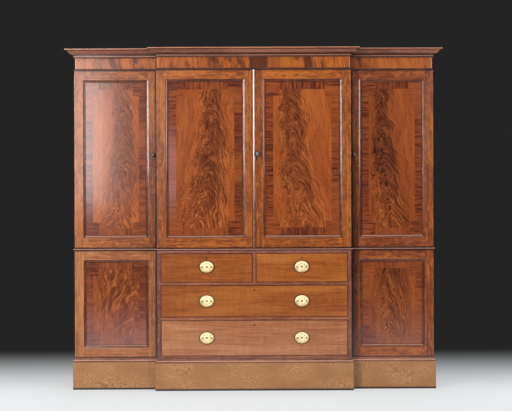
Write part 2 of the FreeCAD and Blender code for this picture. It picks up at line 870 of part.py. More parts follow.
def make_drawer(drawer):
    """Front with cock beads, dovetailed box, lock, oval handles."""
    low_x = drawer.low_x
    high_x = drawer.high_x
    back_end = centre_face_y + drawer_length
    front_back = centre_face_y + drawer_front_thickness
    inner_low = low_x + drawer_side_thickness
    inner_high = high_x - drawer_side_thickness
    bottom_low = drawer.bottom + drawer_bottom_rise
    bottom_high = bottom_low + drawer_bottom_thickness
    side_top = drawer.top - drawer_side_drop
    bottom_panel = block(
        (inner_low - drawer_groove, inner_high + drawer_groove),
        (front_back - drawer_groove, back_end),
        (bottom_low, bottom_high),
    )
    left_side = drawer_side(drawer, low_x, inner_low, bottom_panel)
    right_side = drawer_side(drawer, high_x, inner_high, bottom_panel)
    back_ys = (back_end - drawer_back_thickness, back_end)
    back = block((low_x, high_x), back_ys, (bottom_high, side_top - drawer_back_drop))
    back = cut_all(back, [left_side, right_side])
    add(drawer.name + "_box", left_side, right_side, back, bottom_panel)

    outer = rectangle(low_x, high_x, drawer.bottom, drawer.top, 0)
    inner = rectangle(low_x, high_x, drawer.bottom, drawer.top, cockbead_thickness)
    beads = mitred_boards(outer, inner, 0, cockbead_depth)
    beads = stood_up(beads, centre_face_y - cockbead_proud + cockbead_depth)
    case = drawer_lock_case(drawer.keyhole_x, drawer.top)
    case_front = front_back - lock_case_depth
    hole = keyhole(
        drawer.keyhole_x, drawer.keyhole_z, centre_face_y - overrun, case_front + lock_case_wall, 0
    )
    line, line_room = escutcheon(drawer.keyhole_x, drawer.keyhole_z, centre_face_y)
    bolt_room = drawer_bolt_room(drawer.keyhole_x, drawer.top)
    brasses = [cut_all(case, [bolt_room, hole]), line]
    shanks = []
    for name, x in zip(bail_names[drawer], drawer.handle_places):
        brasses.append(handle_plate(x, drawer.handle_z))
        for post_x in post_places(x):
            brasses.append(handle_post(post_x, drawer.handle_z))
            shanks.append(post_shank(post_x, drawer.handle_z))
        add(name, bail(x, drawer.handle_z))
    front = block((low_x, high_x), (centre_face_y, front_back), (drawer.bottom, drawer.top))
    joints = [left_side, right_side, bottom_panel, case, hole, line_room, bolt_room]
    front = cut_all(front, beads + shanks + joints)
    add(drawer.name + "_front", front, *[bead.cut(bolt_room).Solids[0] for bead in beads])
    add(drawer.name + "_brasses", *brasses)
    add(drawer.name + "_bolt", drawer_bolt(drawer.keyhole_x, drawer.top, 0))


# Carcases
def make_plinth():
    """A mitred frame of boards, a back rail and a bearer under each side of the centre."""
    outer = front_line(plinth_projection)
    inner = front_line(plinth_projection - plinth_board_thickness)
    add("plinth_boards", *mitred_boards(inner, outer, 0, plinth_height))
    inside_x = half_carcase + plinth_projection - plinth_board_thickness
    back_rail_y = back_y - plinth_board_thickness
    add("plinth_boards", block((-inside_x, inside_x), (back_rail_y, back_y), (0, plinth_height)))
    return_x = half_centre + plinth_projection
    bearer_front = wing_face_y - plinth_projection + plinth_board_thickness
    for side in (-1, 1):
        bearer_xs = (side * return_x, side * (return_x - plinth_board_thickness))
        add("plinth_boards", block(bearer_xs, (bearer_front, back_rail_y), (0, plinth_height)))


def make_mouldings():
    """The four runs of moulding and the frieze that follow the breakfront."""
    frieze = -frieze_setback
    bead = frieze_bead_projection - frieze_setback
    runs = (
        ("base_moulding", 0, plinth_projection, base_moulding_shares, base_moulding_height, plinth_height),
        ("waist_moulding", 0, waist_projection, waist_moulding_shares, waist_moulding_height, waist_level),
        ("frieze_bead", frieze, bead, frieze_bead_shares, frieze_bead_height, press_ceiling),
        ("cornice_moulding", frieze, cornice_overhang, cornice_shares, cornice_height, cornice_bottom),
    )
    for node, near_out, far_out, shares, height, bottom in runs:
        add(node, *mitred_moulding(front_line(near_out), front_line(far_out), shares, height, bottom))
    frieze_face = front_line(frieze)
    frieze_back = front_line(-frieze_setback - frieze_board_thickness)
    add("frieze_boards", *mitred_boards(frieze_back, frieze_face, frieze_bottom, overall_height))
    inside_x = half_carcase - frieze_setback - frieze_board_thickness
    rail_y = back_y - frieze_board_thickness
    add("frieze_boards", block((-inside_x, inside_x), (rail_y, back_y), (frieze_bottom, overall_height)))
    return_x = half_centre - frieze_setback - frieze_board_thickness
    dust_zs = (cornice_bottom, cornice_bottom + dust_board_thickness)
    inset = frieze_setback + frieze_board_thickness
    add("upper_carcase_boards", block((-return_x, return_x), (centre_face_y + inset, rail_y), dust_zs))
    for side in (-1, 1):
        add(
            "upper_carcase_boards",
            block((side * return_x, side * inside_x), (wing_face_y + inset, rail_y), dust_zs),
        )


def bolt_rooms():
    """The mortises that the lock bolts shoot into."""
    rooms = [door_bolt_room(door) for door in locked_doors]
    return rooms + [drawer_bolt_room(drawer.keyhole_x, drawer.top) for drawer in drawers]


def make_lower_carcase():
    """The chest of drawers in the centre and a cupboard on each side of it."""
    hinge_rooms = hinge_cuts(left_lower, carcase_leaf) + hinge_cuts(right_lower, carcase_leaf)
    wing_front = wing_face_y + door_thickness + door_gap
    bottom_zs = (plinth_height, base_top)
    side_zs = (base_top, chest_ceiling)
    top_zs = (chest_ceiling, waist_level)
    centre_ys = (centre_face_y, inside_back_y)
    wing_ys = (wing_front, inside_back_y)
    top = block((-half_centre, half_centre), centre_ys, top_zs)
    bottom = block((-half_centre, half_centre), centre_ys, bottom_zs)
    add("lower_carcase_boards", bottom, cut_all(top, bolt_rooms()))
    for side in (-1, 1):
        wing_xs = (side * half_centre, side * half_carcase)
        outer = block((side * wing_outer_x, side * half_carcase), wing_ys, side_zs)
        add(
            "lower_carcase_boards",
            block((side * drawer_opening_half, side * half_centre), centre_ys, side_zs),
            block(wing_xs, (wing_face_y, inside_back_y), bottom_zs),
            block((side * half_centre, side * wing_inner_x), wing_ys, side_zs),
            cut_all(outer, hinge_rooms),
            block(wing_xs, wing_ys, top_zs),
        )


def make_upper_carcase():
    """The press in the centre and a cupboard on each side of it."""
    uppers = (left_centre, right_centre, left_upper, right_upper)
    rooms = bolt_rooms()
    for door in uppers:
        rooms = rooms + hinge_cuts(door, carcase_leaf)
    centre_front = centre_face_y + door_thickness + door_gap
    wing_front = wing_face_y + door_thickness + door_gap
    floor_zs = (waist_level, press_floor)
    side_zs = (press_floor, press_ceiling)
    top_zs = (press_ceiling, frieze_bottom)
    top_return_x = half_centre - frieze_setback
    add(
        "upper_carcase_boards",
        block((-half_centre, half_centre), (centre_face_y, inside_back_y), floor_zs),
        block((-top_return_x, top_return_x), (centre_face_y + frieze_setback, back_y), top_zs),
    )
    for side in (-1, 1):
        centre_side = block(
            (side * drawer_opening_half, side * half_centre), (centre_front, inside_back_y), side_zs
        )
        outer = block((side * wing_outer_x, side * half_carcase), (wing_front, inside_back_y), side_zs)
        add(
            "upper_carcase_boards",
            block((side * half_centre, side * half_carcase), (wing_face_y, inside_back_y), floor_zs),
            cut_all(centre_side, rooms),
            block((side * half_centre, side * wing_inner_x), (wing_front, inside_back_y), side_zs),
            cut_all(outer, rooms),
            block(
                (side * top_return_x, side * (half_carcase - frieze_setback)),
                (wing_face_y + frieze_setback, back_y),
                top_zs,
            ),
        )


def make_backs():
    """Upright back boards behind each carcase of each stage."""
    for low_z, high_z in ((plinth_height, waist_level), (waist_level, press_ceiling)):
        for low_x, high_x in (
            (-half_carcase, -half_centre),
            (-half_centre, half_centre),
            (half_centre, half_carcase),
        ):
            count = max(1, round((high_x - low_x) / back_board_width))
            width = (high_x - low_x) / count
            for index in range(count):
                board_x = low_x + width * index
                board_xs = (board_x, board_x + width)
                add("back_boards", block(board_xs, (inside_back_y, back_y), (low_z, high_z)))


def make_drawer_frame():
    """Blades between the drawers, the divider of the short ones, their runners, guide and stops."""
    rooms = bolt_rooms()
    blade_back = centre_face_y + blade_depth
    opening_xs = (-drawer_opening_half, drawer_opening_half)
    floors = (
        (bottom_drawer_floor, bottom_blade_height),
        (middle_drawer_floor, blade_height),
        (short_drawer_floor, blade_height),
    )
    for floor, height in floors:
        blade = block(opening_xs, (centre_face_y, blade_back), (floor - height, floor))
        add("drawer_dividers", cut_all(blade, rooms))
        for side in (-1, 1):
            runner_xs = (side * drawer_opening_half, side * (drawer_opening_half - runner_width))
            add("drawer_runners", block(runner_xs, (blade_back, inside_back_y), (floor - height, floor)))
    row_top = short_drawer_floor + short_drawer_opening
    add(
        "drawer_dividers",
        block((-half_divider, half_divider), (centre_face_y, blade_back), (short_drawer_floor, row_top)),
    )
    add(
        "drawer_runners",
        block(
            (-runner_width, runner_width),
            (blade_back, inside_back_y),
            (short_drawer_floor - blade_height, short_drawer_floor),
        ),
        block(
            (-half_divider, half_divider),
            (blade_back, inside_back_y),
            (short_drawer_floor, short_drawer_floor + guide_height),
        ),
    )
    stop_front = centre_face_y + drawer_front_thickness + drawer_running_gap
    for drawer in drawers:
        floor = drawer.bottom - drawer_running_gap
        middle = drawer.keyhole_x
        offset = stop_place_share * (drawer.high_x - drawer.low_x) / 2
        for stop_x in (middle - offset, middle + offset):
            stop_xs = (stop_x - stop_width / 2, stop_x + stop_width / 2)
            stop_ys = (stop_front, stop_front + stop_depth)
            add("drawer_dividers", block(stop_xs, stop_ys, (floor, floor + stop_height)))


def bearer_pair(low_x, high_x, front, level):
    """Two strips that carry a shelf or a tray between two upright boards."""
    zs = (level - bearer_height, level)
    ys = (front, inside_back_y)
    left = block((low_x, low_x + bearer_width), ys, zs)
    right = block((high_x - bearer_width, high_x), ys, zs)
    return left, right


def make_shelves():
    """Shelves on bearers in the four cupboards of the wings."""
    front = wing_face_y + door_thickness + shelf_setback
    stages = ((press_floor, press_ceiling, upper_shelf_count), (base_top, chest_ceiling, lower_shelf_count))
    for low_x, high_x in ((-wing_outer_x, -wing_inner_x), (wing_inner_x, wing_outer_x)):
        for floor, ceiling, count in stages:
            for index in range(count):
                level = floor + (ceiling - floor) * (index + 1) / (count + 1)
                shelf_xs = (low_x + shelf_clearance / 2, high_x - shelf_clearance / 2)
                shelf = block(shelf_xs, (front, inside_back_y), (level, level + shelf_thickness))
                add("shelves_and_bearers", shelf, *bearer_pair(low_x, high_x, front, level))


def tray(low_x, high_x, front, level):
    """A linen tray: a bottom, two sides, a back and a low front with a dip to grip."""
    back = front + tray_depth
    floor = level + tray_bottom_thickness
    inner_low = low_x + tray_board_thickness
    inner_high = high_x - tray_board_thickness
    side_zs = (floor, level + tray_side_height)
    bottom = block((low_x, high_x), (front, back), (level, floor))
    left = block((low_x, inner_low), (front, back), side_zs)
    right = block((inner_high, high_x), (front, back), side_zs)
    rear = block((inner_low, inner_high), (back - tray_board_thickness, back), side_zs)
    lip = level + tray_front_height
    front_board = block((inner_low, inner_high), (front, front + tray_board_thickness), (floor, lip))
    dip_width = (inner_high - inner_low) * tray_dip_width_share
    dip_depth = tray_front_height * tray_dip_depth_share
    middle = (low_x + high_x) / 2
    dip = block(
        (middle - dip_width / 2, middle + dip_width / 2),
        (front - overrun, front + tray_board_thickness + overrun),
        (lip - dip_depth, lip + overrun),
    )
    return bottom, left, right, rear, cut_all(front_board, [dip])


def make_trays():
    """Sliding trays behind the centre doors, each on a pair of bearers."""
    front = centre_face_y + door_thickness + tray_setback
    low_x = -drawer_opening_half
    high_x = drawer_opening_half
    spacing = (press_ceiling - press_floor) / tray_count
    for index in range(tray_count):
        level = press_floor + bearer_height + spacing * index
        add("shelves_and_bearers", *bearer_pair(low_x, high_x, front, level))
        add("linen_trays", *tray(low_x + tray_clearance / 2, high_x - tray_clearance / 2, front, level))


make_plinth()
make_lower_carcase()
make_upper_carcase()
make_mouldings()
make_backs()
make_drawer_frame()
make_shelves()
make_trays()
make_carcase_hinges()
for each_door in doors:
    make_door(each_door)
make_astragal()
for each_drawer in drawers:
    make_drawer(each_drawer)

os.makedirs("parts", exist_ok=True)
for node, solids in parts.items():
    shape = solids[0] if len(solids) == 1 else Part.makeCompound(solids)
    shape.exportStep("parts/" + node + ".step")
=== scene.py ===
"""The looks of a breakfront linen press: polished mahogany, flame veneers, stamped brass, studio light.

Metres, +Z up, the front faces -Y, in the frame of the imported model.
"""
import bmesh
import bpy
import json
import math
import random
from mathutils import Matrix, Vector


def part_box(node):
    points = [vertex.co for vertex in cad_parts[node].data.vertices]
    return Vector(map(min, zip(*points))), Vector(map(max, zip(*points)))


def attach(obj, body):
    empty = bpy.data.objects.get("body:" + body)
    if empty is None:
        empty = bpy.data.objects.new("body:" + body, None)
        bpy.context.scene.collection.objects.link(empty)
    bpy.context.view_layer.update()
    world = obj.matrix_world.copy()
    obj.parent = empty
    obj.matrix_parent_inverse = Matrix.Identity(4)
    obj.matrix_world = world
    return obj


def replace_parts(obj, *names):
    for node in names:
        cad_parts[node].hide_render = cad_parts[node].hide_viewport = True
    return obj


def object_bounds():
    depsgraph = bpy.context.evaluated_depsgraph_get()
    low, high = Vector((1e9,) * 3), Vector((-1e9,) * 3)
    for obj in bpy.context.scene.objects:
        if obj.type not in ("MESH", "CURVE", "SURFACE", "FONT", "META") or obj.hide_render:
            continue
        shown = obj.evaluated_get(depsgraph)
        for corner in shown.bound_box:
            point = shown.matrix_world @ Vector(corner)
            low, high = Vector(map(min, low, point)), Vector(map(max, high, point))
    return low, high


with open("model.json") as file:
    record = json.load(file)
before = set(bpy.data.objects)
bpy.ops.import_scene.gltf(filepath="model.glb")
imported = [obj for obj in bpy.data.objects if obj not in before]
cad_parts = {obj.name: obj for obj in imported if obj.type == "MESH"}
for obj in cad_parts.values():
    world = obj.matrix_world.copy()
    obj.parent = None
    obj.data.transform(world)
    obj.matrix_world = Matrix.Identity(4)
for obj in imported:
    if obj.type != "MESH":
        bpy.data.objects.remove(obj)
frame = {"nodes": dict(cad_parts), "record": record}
nodes = frame["nodes"]
cad_low, cad_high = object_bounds()
front_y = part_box("left_centre_door_frame")[0].y

doors = ("left_centre", "right_centre", "left_upper", "right_upper", "left_lower", "right_lower")
drawers = ("bottom_drawer", "middle_drawer", "left_short_drawer", "right_short_drawer")

# Camera
photo_width_px = 512
focal_px = 1451.5
camera_distance = 9.0
camera_side = -0.016
camera_height = 1.168
camera_turn_degrees = 0.179
camera_tilt_degrees = 0.134
camera_roll_degrees = -0.204
sensor_width_mm = 36.0

# Lamps: name, place, aim, width, height, power and colour
white = (1.0, 1.0, 1.0)
lamps = (
    ("key", (-4.2, -7.0, 2.75), (0.0, 0.0, 1.15), 1.1, 2.4, 356.0, (1.0, 0.96, 0.925)),
    ("sheen", (-1.98, -6.6, 1.95), (-0.9, 0.0, 1.4), 0.8, 1.6, 36.0, (1.0, 0.91, 0.91)),
    ("fill", (4.2, -7.6, 2.7), (-0.2, 0.0, 1.15), 1.0, 2.2, 145.0, (1.0, 0.96, 0.925)),
    ("overhead", (0.0, -2.2, 4.8), (0.0, -1.9, 0.0), 5.0, 2.6, 115.0, (1.0, 0.99, 0.985)),
    ("strip", (0.0, -6.0, 4.4), (0.0, 0.0, 1.0), 4.0, 0.6, 15.0, (1.0, 0.96, 0.93)),
    ("side", (-6.0, 1.4, 3.2), (0.0, 0.1, 1.0), 2.0, 2.0, 110.0, white),
    ("side", (6.0, 1.4, 3.2), (0.0, 0.1, 1.0), 2.0, 2.0, 110.0, white),
    ("rear", (0.0, 6.5, 5.2), (0.0, 0.3, 1.0), 4.0, 2.0, 300.0, white),
)

# Stage
floor_reach = 60.0
floor_fade_start = -0.8
floor_fade_end = 2.3
floor_front_start = -3.2
floor_front_end = -5.5
floor_glow = 0.65
floor_roughness = 0.8
floor_specular = 0.1
floor_colour = (0.83, 0.86, 0.875, 1.0)
air_colour = (0.95, 0.97, 1.0, 1.0)
air_strength = 0.09

# Sizes that the solids were drawn with
panel_housing = 0.008
panel_moulding_width = 0.016
plate_width = 0.086
plate_height = 0.070
post_spacing = 0.054
post_radius = 0.0046
bail_stand_off = 0.008
bail_shoulder = 0.0065
bail_corner_radius = 0.005
bail_pivot_inset = 0.004
bail_turn_degrees = 120.0
bail_radius = 0.0024
hinge_length = 0.075

# Limits that tell the solids and faces of a node apart
hinge_least_length = 0.07
hinge_most_width = 0.03
knob_least_rise = 0.008
cockbead_most_thickness = 0.005
moulding_most_width = 0.024
rear_board_reach = 0.05
top_reach = 0.001
facing_share = 0.5
place_digits = 6

# Stamped plates: the middle and the reach of each relief are shares of the oval's radius
plate_thickness = 0.0010
plate_field_rise = 0.0014
plate_field_share = 0.84
plate_slope_share = 0.07
plate_rim_rise = 0.0009
plate_rim_shares = (0.955, 0.045)
plate_bead_rise = 0.0007
plate_bead_shares = (0.70, 0.05)
plate_bead_count = 28
plate_leaf_rise = 0.0008
plate_leaf_shares = (0.42, 0.2)
plate_leaf_count = 16
plate_boss_rise = 0.0010
plate_boss_shares = (0.0, 0.24)
plate_hole_depth = 0.0026
plate_hole_shares = (0.0, 0.17)
plate_hole_dulling = 1.8
plate_groove_dulling = 0.3
plate_groove_shares = (0.87, 0.035)
plate_mark_dulling = 0.85
plate_mark_shares = (0.56, 0.12)
plate_mark_count = 8
plate_ring_count = 44
plate_segments = 168
least_share = 0.004

# Turned posts: distance towards the front from the bail's axis, and radius, as shares of the post's radius
post_shares = (
    (-1.2, 1.3), (-0.98, 1.3), (-0.9, 1.1), (-0.85, 0.8), (-0.7, 0.82), (-0.5, 0.98), (-0.25, 1.08),
    (0.0, 1.12), (0.3, 1.08), (0.6, 0.92), (0.82, 0.7), (0.95, 0.42), (1.05, 0.4), (1.12, 0.25), (1.15, 0.0),
)
post_dulling = 0.3

# Cast bails and hinge barrels
bail_corner_steps = 8
bail_sweep_steps = 14
bail_segments = 14
bail_least_share = 0.9
bail_swell_share = 0.3
barrel_radius = 0.0042
hinge_joint = 0.0003
turned_segments = 20
least_radius = 1e-5
crease_degrees = 40

# Veneered borders of the panels, with a painted sheen on the left-hand strip and a painted reflection of the
# floor towards the foot
centre_band_width = 0.049
wing_band_width = 0.043
notch_width = 0.040
glue_line_width = 0.0012
band_piece_length = 0.19
band_joint_share = 0.01
sheen_middle_share = 0.15
sheen_start_share = 0.2
sheen_end_share = 0.75
reflection_top_share = 0.4

# Painted shade: darker in narrow and wide corners, at the doors' top and bottom edges, in a line and a
# painted shadow beside the breakfront, at the panels' edges and round the plates; brass tarnishes in its
# hollows
shade_reach = 0.012
corner_reach = 0.034
brass_grime_reach = 0.003
nook_samples = 8
door_line_width = 0.009
step_line_start = 0.009
step_line_end = 0.019
lee_width = 0.075
lee_dark_width = 0.01875
lee_top = 1.8
lee_foot = 1.2
panel_shade_start = -0.001
panel_shade_end = 0.007
halo_start_share = 1.02
halo_end_share = 1.28

# Painted highlights on the boards' long edges and the frieze's ends, and a darker band along the plinth's
# foot
arris_width = 0.006
frieze_highlight_width = 0.007
foot_dark_start = 0.006
foot_dark_end = 0.018

# Each board comes from a place of its own in the timber, shifted by its number times these
timber_shifts = (37.0, 11.0, 23.0)

# Width of the streaks of plain mahogany, and how far they sway
plain_streak = 0.012
fine_streak = 0.006
edge_streak = 0.008
drawer_streak = 0.01
broad_streak = 0.02
streak_sway = 0.05

# Figure of the woods and metals: how often each repeats in a metre, on the axes that it is stretched along
sway_scales = (1.6, 4.0)
streak_scale = 6.0
shade_scales = (1.3, 9.0, 9.0)
cloud_scales = (24.0, 48.0, 48.0)
ripple_scales = (46.0, 9.0, 9.0)
pore_scales = (60.0, 1300.0, 1300.0)
swirl_scales = (9.0, 16.0)
curly_cloud_scales = (5.0, 9.0)
curly_fine_scales = (60.0, 240.0)
band_wander_scales = (2.5,)
band_line_scales = (190.0, 14.0)
band_wave_scales = (72.0, 9.0)
frieze_wander_scales = (1.9,)
frieze_piece_scale = 5.2
frieze_patch_scales = (11.0, 4.0)
frieze_line_scales = (130.0, 12.0)
planed_ring_scales = (1.4, 75.0, 75.0)
planed_blotch_scales = (3.0, 6.0)
brass_fine_scales = (420.0, 420.0, 420.0)
brass_cloud_scales = (60.0, 60.0, 60.0)
knob_ring_scales = (260.0, 90.0, 420.0)

# Rings of the curly figure, in radians for the whole of its swirl, and sections of the frieze's veneer
curly_ring_turn = 55.0
frieze_joint_share = 0.012
frieze_lean_share = 0.15

# Flames: how often their noises repeat in a metre, how far these push the strands, and how round an arch is
flame_slow_scales = (6.0, 4.0)
flame_quick_scales = (24.0, 11.0)
flame_curl_scales = (80.0, 60.0)
hair_scales = (106.0, 38.0)
barb_scales = (44.0, 25.0)
flame_ground_scales = (9.0, 1.2)
flame_fine_scales = (100.0, 6.0)
flame_sway = 0.11
strand_stray = 0.05
strand_curl = 0.02
level_stray = 0.08
level_curl = 0.035
arch_rounding = 0.0002

# Depth of the relief in the polish
grain_relief = 0.0004
planed_relief = 0.0006
veneer_relief = 0.0003
fine_relief = 0.0002


def srgb(red, green, blue):
    """A colour as it is read off a screen, 0 to 255, in linear light."""
    linear = []
    for channel in (red, green, blue):
        share = channel / 255
        linear.append(share / 12.92 if share <= 0.04045 else ((share + 0.055) / 1.055) ** 2.4)
    return (*linear, 1.0)


studio_colour = srgb(36, 36, 36)
# Colour of painted shade, also used for the darker plinth foot and the old polish round the plates
shade_and_grime_colour = srgb(26, 12, 9)
# Colour of painted highlights
highlight_colour = srgb(206, 158, 130)


# Solids of the nodes
def spot(point):
    """A point's place, rounded so that equal corners match."""
    return tuple(round(value, place_digits) for value in point)


def solids_of(mesh):
    """The faces of each solid of a mesh, with its lowest and highest corner.

    Faces belong together across an edge that only two of them share.
    """
    spots = {}
    spot_of = [spots.setdefault(spot(vertex.co), len(spots)) for vertex in mesh.vertices]
    edges = {}
    for polygon in mesh.polygons:
        corners = [spot_of[index] for index in polygon.vertices]
        for start, end in zip(corners, corners[1:] + corners[:1]):
            edges.setdefault((min(start, end), max(start, end)), []).append(polygon.index)
    parent = list(range(len(mesh.polygons)))

    def root(index):
        while parent[index] != index:
            parent[index] = parent[parent[index]]
            index = parent[index]
        return index

    for sharers in edges.values():
        if len(sharers) == 2:
            parent[root(sharers[0])] = root(sharers[1])
    groups = {}
    for index in range(len(mesh.polygons)):
        groups.setdefault(root(index), []).append(index)
    for faces in groups.values():
        points = [mesh.vertices[index].co for face in faces for index in mesh.polygons[face].vertices]
        low = Vector([min(point[axis] for point in points) for axis in range(3)])
        high = Vector([max(point[axis] for point in points) for axis in range(3)])
        yield faces, low, high


def paint(mesh, faces, index):
    """Give some faces one of the mesh's materials."""
    for face in faces:
        mesh.polygons[face].material_index = index


def handle_centres(drawer):
    """Where the plates of a drawer sit, from the solids of its brasses."""
    centres = []
    for faces, low, high in solids_of(nodes[drawer + "_brasses"].data):
        if high.x - low.x > plate_width - plate_thickness:
            centres.append(Vector(((low.x + high.x) / 2, high.y, (low.z + high.z) / 2)))
    return centres


# Node graphs
class Value:
    """What a node gives, with sums that add more nodes."""

    def __init__(self, tree, socket):
        self.tree = tree
        self.socket = socket

    def __add__(self, other):
        return self.tree.math("ADD", self, other)

    def __sub__(self, other):
        return self.tree.math("SUBTRACT", self, other)

    def __rsub__(self, other):
        return self.tree.math("SUBTRACT", other, self)

    def __mul__(self, other):
        return self.tree.math("MULTIPLY", self, other)

    def __truediv__(self, other):
        return self.tree.math("DIVIDE", self, other)

    def __lt__(self, other):
        return self.tree.math("LESS_THAN", self, other)

    def __abs__(self):
        return self.tree.math("ABSOLUTE", self)

    __radd__ = __add__
    __rmul__ = __mul__


class Tree:
    """A node tree, with short ways to add nodes."""

    def __init__(self, tree):
        self.tree = tree
        tree.nodes.clear()

    def put(self, socket, value):
        """Link a socket to what a node gives, or set its own value."""
        if isinstance(value, Value):
            self.tree.links.new(value.socket, socket)
        else:
            socket.default_value = value

    def node(self, kind, inputs, **settings):
        """A node with its settings, and its inputs by name or number."""
        node = self.tree.nodes.new("ShaderNode" + kind)
        for name, setting in settings.items():
            setattr(node, name, setting)
        for key, value in inputs.items():
            self.put(node.inputs[key], value)
        return node

    def take(self, output, kind, inputs, **settings):
        """One output of a new node."""
        return Value(self, self.node(kind, inputs, **settings).outputs[output])

    def math(self, operation, *values):
        """A sum or a comparison."""
        return self.take(0, "Math", dict(enumerate(values)), operation=operation)

    def vector(self, *parts):
        """A vector from three numbers."""
        return self.take(0, "CombineXYZ", dict(enumerate(parts)))

    def split(self, vector):
        """The three parts of a vector."""
        return [Value(self, output) for output in self.node("SeparateXYZ", {0: vector}).outputs]

    def attribute(self, name, output="Vector"):
        """A value that the mesh carries."""
        return self.take(output, "Attribute", {}, attribute_name=name)

    def parts(self, name):
        """The three parts of a vector that the mesh carries."""
        return self.split(self.attribute(name))

    def place(self):
        """Where a point lies in the part, at rest."""
        return self.split(self.take("Object", "TexCoord", {}))

    def noise(self, places, scales, detail=2.0, roughness=0.5, distortion=0.0):
        """Noise at three places, the first of them stretched by the scales."""
        stretched = [place * scale for place, scale in zip(places, scales)]
        return self.take("Fac", "TexNoise", {
            "Vector": self.vector(*stretched, *places[len(scales):]), "Scale": 1.0, "Detail": detail,
            "Roughness": roughness, "Distortion": distortion,
        })

    def dice(self, *places):
        """One random value for each cell of whole numbers."""
        return self.take("Value", "TexWhiteNoise", {"Vector": self.vector(*places)})

    def fade(self, value, low, high, start=0.0, end=1.0):
        """A smooth step from start at low to end at high."""
        inputs = dict(enumerate((value, low, high, start, end)))
        return self.take(0, "MapRange", inputs, interpolation_type="SMOOTHSTEP")

    def mix(self, share, a, b, blend="MIX"):
        """Two colours mixed by a share."""
        return self.take(2, "Mix", {0: share, 6: a, 7: b}, data_type="RGBA", blend_type=blend)

    def shaded(self, colour, value):
        """A colour made lighter or darker."""
        return self.mix(1.0, colour, self.vector(value, value, value), "MULTIPLY")

    def choose(self, share, a, b):
        """Two numbers mixed by a share."""
        return self.take(0, "Mix", {0: share, 2: a, 3: b})

    def nook(self, reach):
        """1 in a narrow corner, 0 in the open."""
        return 1.0 - self.take("AO", "AmbientOcclusion", {"Distance": reach}, samples=nook_samples)

    def seen(self):
        """1 for what the camera sees, straight or in a polish, 0 for the light that falls on things."""
        path = self.node("LightPath", {}).outputs
        rays = [Value(self, path["Is %s Ray" % kind]) for kind in ("Camera", "Glossy", "Transmission")]
        return self.math("MAXIMUM", rays[0], self.math("MAXIMUM", rays[1], rays[2]))

    def between(self, share, a, b):
        """Two shaders mixed by a share."""
        return self.take(0, "MixShader", {0: share, 1: a, 2: b})


class Graph(Tree):
    """The node tree of one material."""

    def __init__(self, name):
        self.material = bpy.data.materials.new(name)
        self.material.use_nodes = True
        super().__init__(self.material.node_tree)
        self.shader = self.node("BsdfPrincipled", {})
        self.surface = Value(self, self.shader.outputs[0])
        self.output = self.node("OutputMaterial", {"Surface": self.surface})

    def bump(self, height, strength, distance):
        """A surface relief."""
        inputs = {"Strength": strength, "Distance": distance, "Height": height}
        self.put(self.shader.inputs["Normal"], self.take(0, "Bump", inputs))

    def polish(self, colour, roughness, coat=0.0, coat_roughness=0.1, coat_ior=1.5, specular=0.5):
        """Colour and gloss of a waxed or French-polished wood."""
        self.put(self.shader.inputs["Base Color"], colour)
        self.put(self.shader.inputs["Roughness"], roughness)
        self.shader.inputs["Coat Weight"].default_value = coat
        self.shader.inputs["Coat Roughness"].default_value = coat_roughness
        self.shader.inputs["Coat IOR"].default_value = coat_ior
        self.shader.inputs["Specular IOR Level"].default_value = specular


def grain_place(graph):
    """Along, across and depth on a board, in its own place in the timber, and the board's number."""
    number = graph.attribute("board_number", "Fac")
    moved = [place + number * shift for place, shift in zip(graph.parts("board_place"), timber_shifts)]
    return (*moved, number)


def edge_room(graph, carrier, part, side=0):
    """How far a point lies inside an edge of its board or node: on a side, 1 or -1, or on the nearer, 0."""
    place = graph.parts(carrier + "_place")[part]
    half = graph.parts(carrier + "_half")[part]
    return half - (place * side if side else abs(place))


def lee_shade(graph, side):
    """Painted shadow of the breakfront: 1 low on a wing's doors beside it, 0 elsewhere."""
    beside = graph.fade(edge_room(graph, "node", 0, side), lee_dark_width, lee_width, 1.0, 0.0)
    return beside * graph.fade(graph.place()[2], lee_top, lee_foot)


def level_line(graph, share, reach):
    """1 along a moulding at a share of its height, 0 at a reach above and below, also such a share."""
    height = graph.parts("node_place")[2] * 0.5 / graph.parts("node_half")[2] + 0.5
    return graph.fade(abs(height - share), 0.0, reach, 1.0, 0.0)


def ledge(graph):
    """1 on faces that look up, where a painted highlight lies, 0 on upright ones."""
    return graph.fade(graph.split(graph.take("Normal", "NewGeometry", {}))[2], 0.15, 0.6)


def handle_shadow(graph):
    """Painted shadow round the oval plates, also standing for old polish gathered there: 1 at their edge, 0 a
    little way off.
    """
    x, z = graph.place()[::2]
    nearest = halo_end_share
    for drawer in drawers:
        for centre in handle_centres(drawer):
            across = (x - centre.x) * (2 / plate_width)
            up = (z - centre.z) * (2 / plate_height)
            nearest = graph.math("MINIMUM", nearest, graph.math("SQRT", across * across + up * up))
    return graph.fade(nearest, halo_start_share, halo_end_share, 0.95, 0.0)


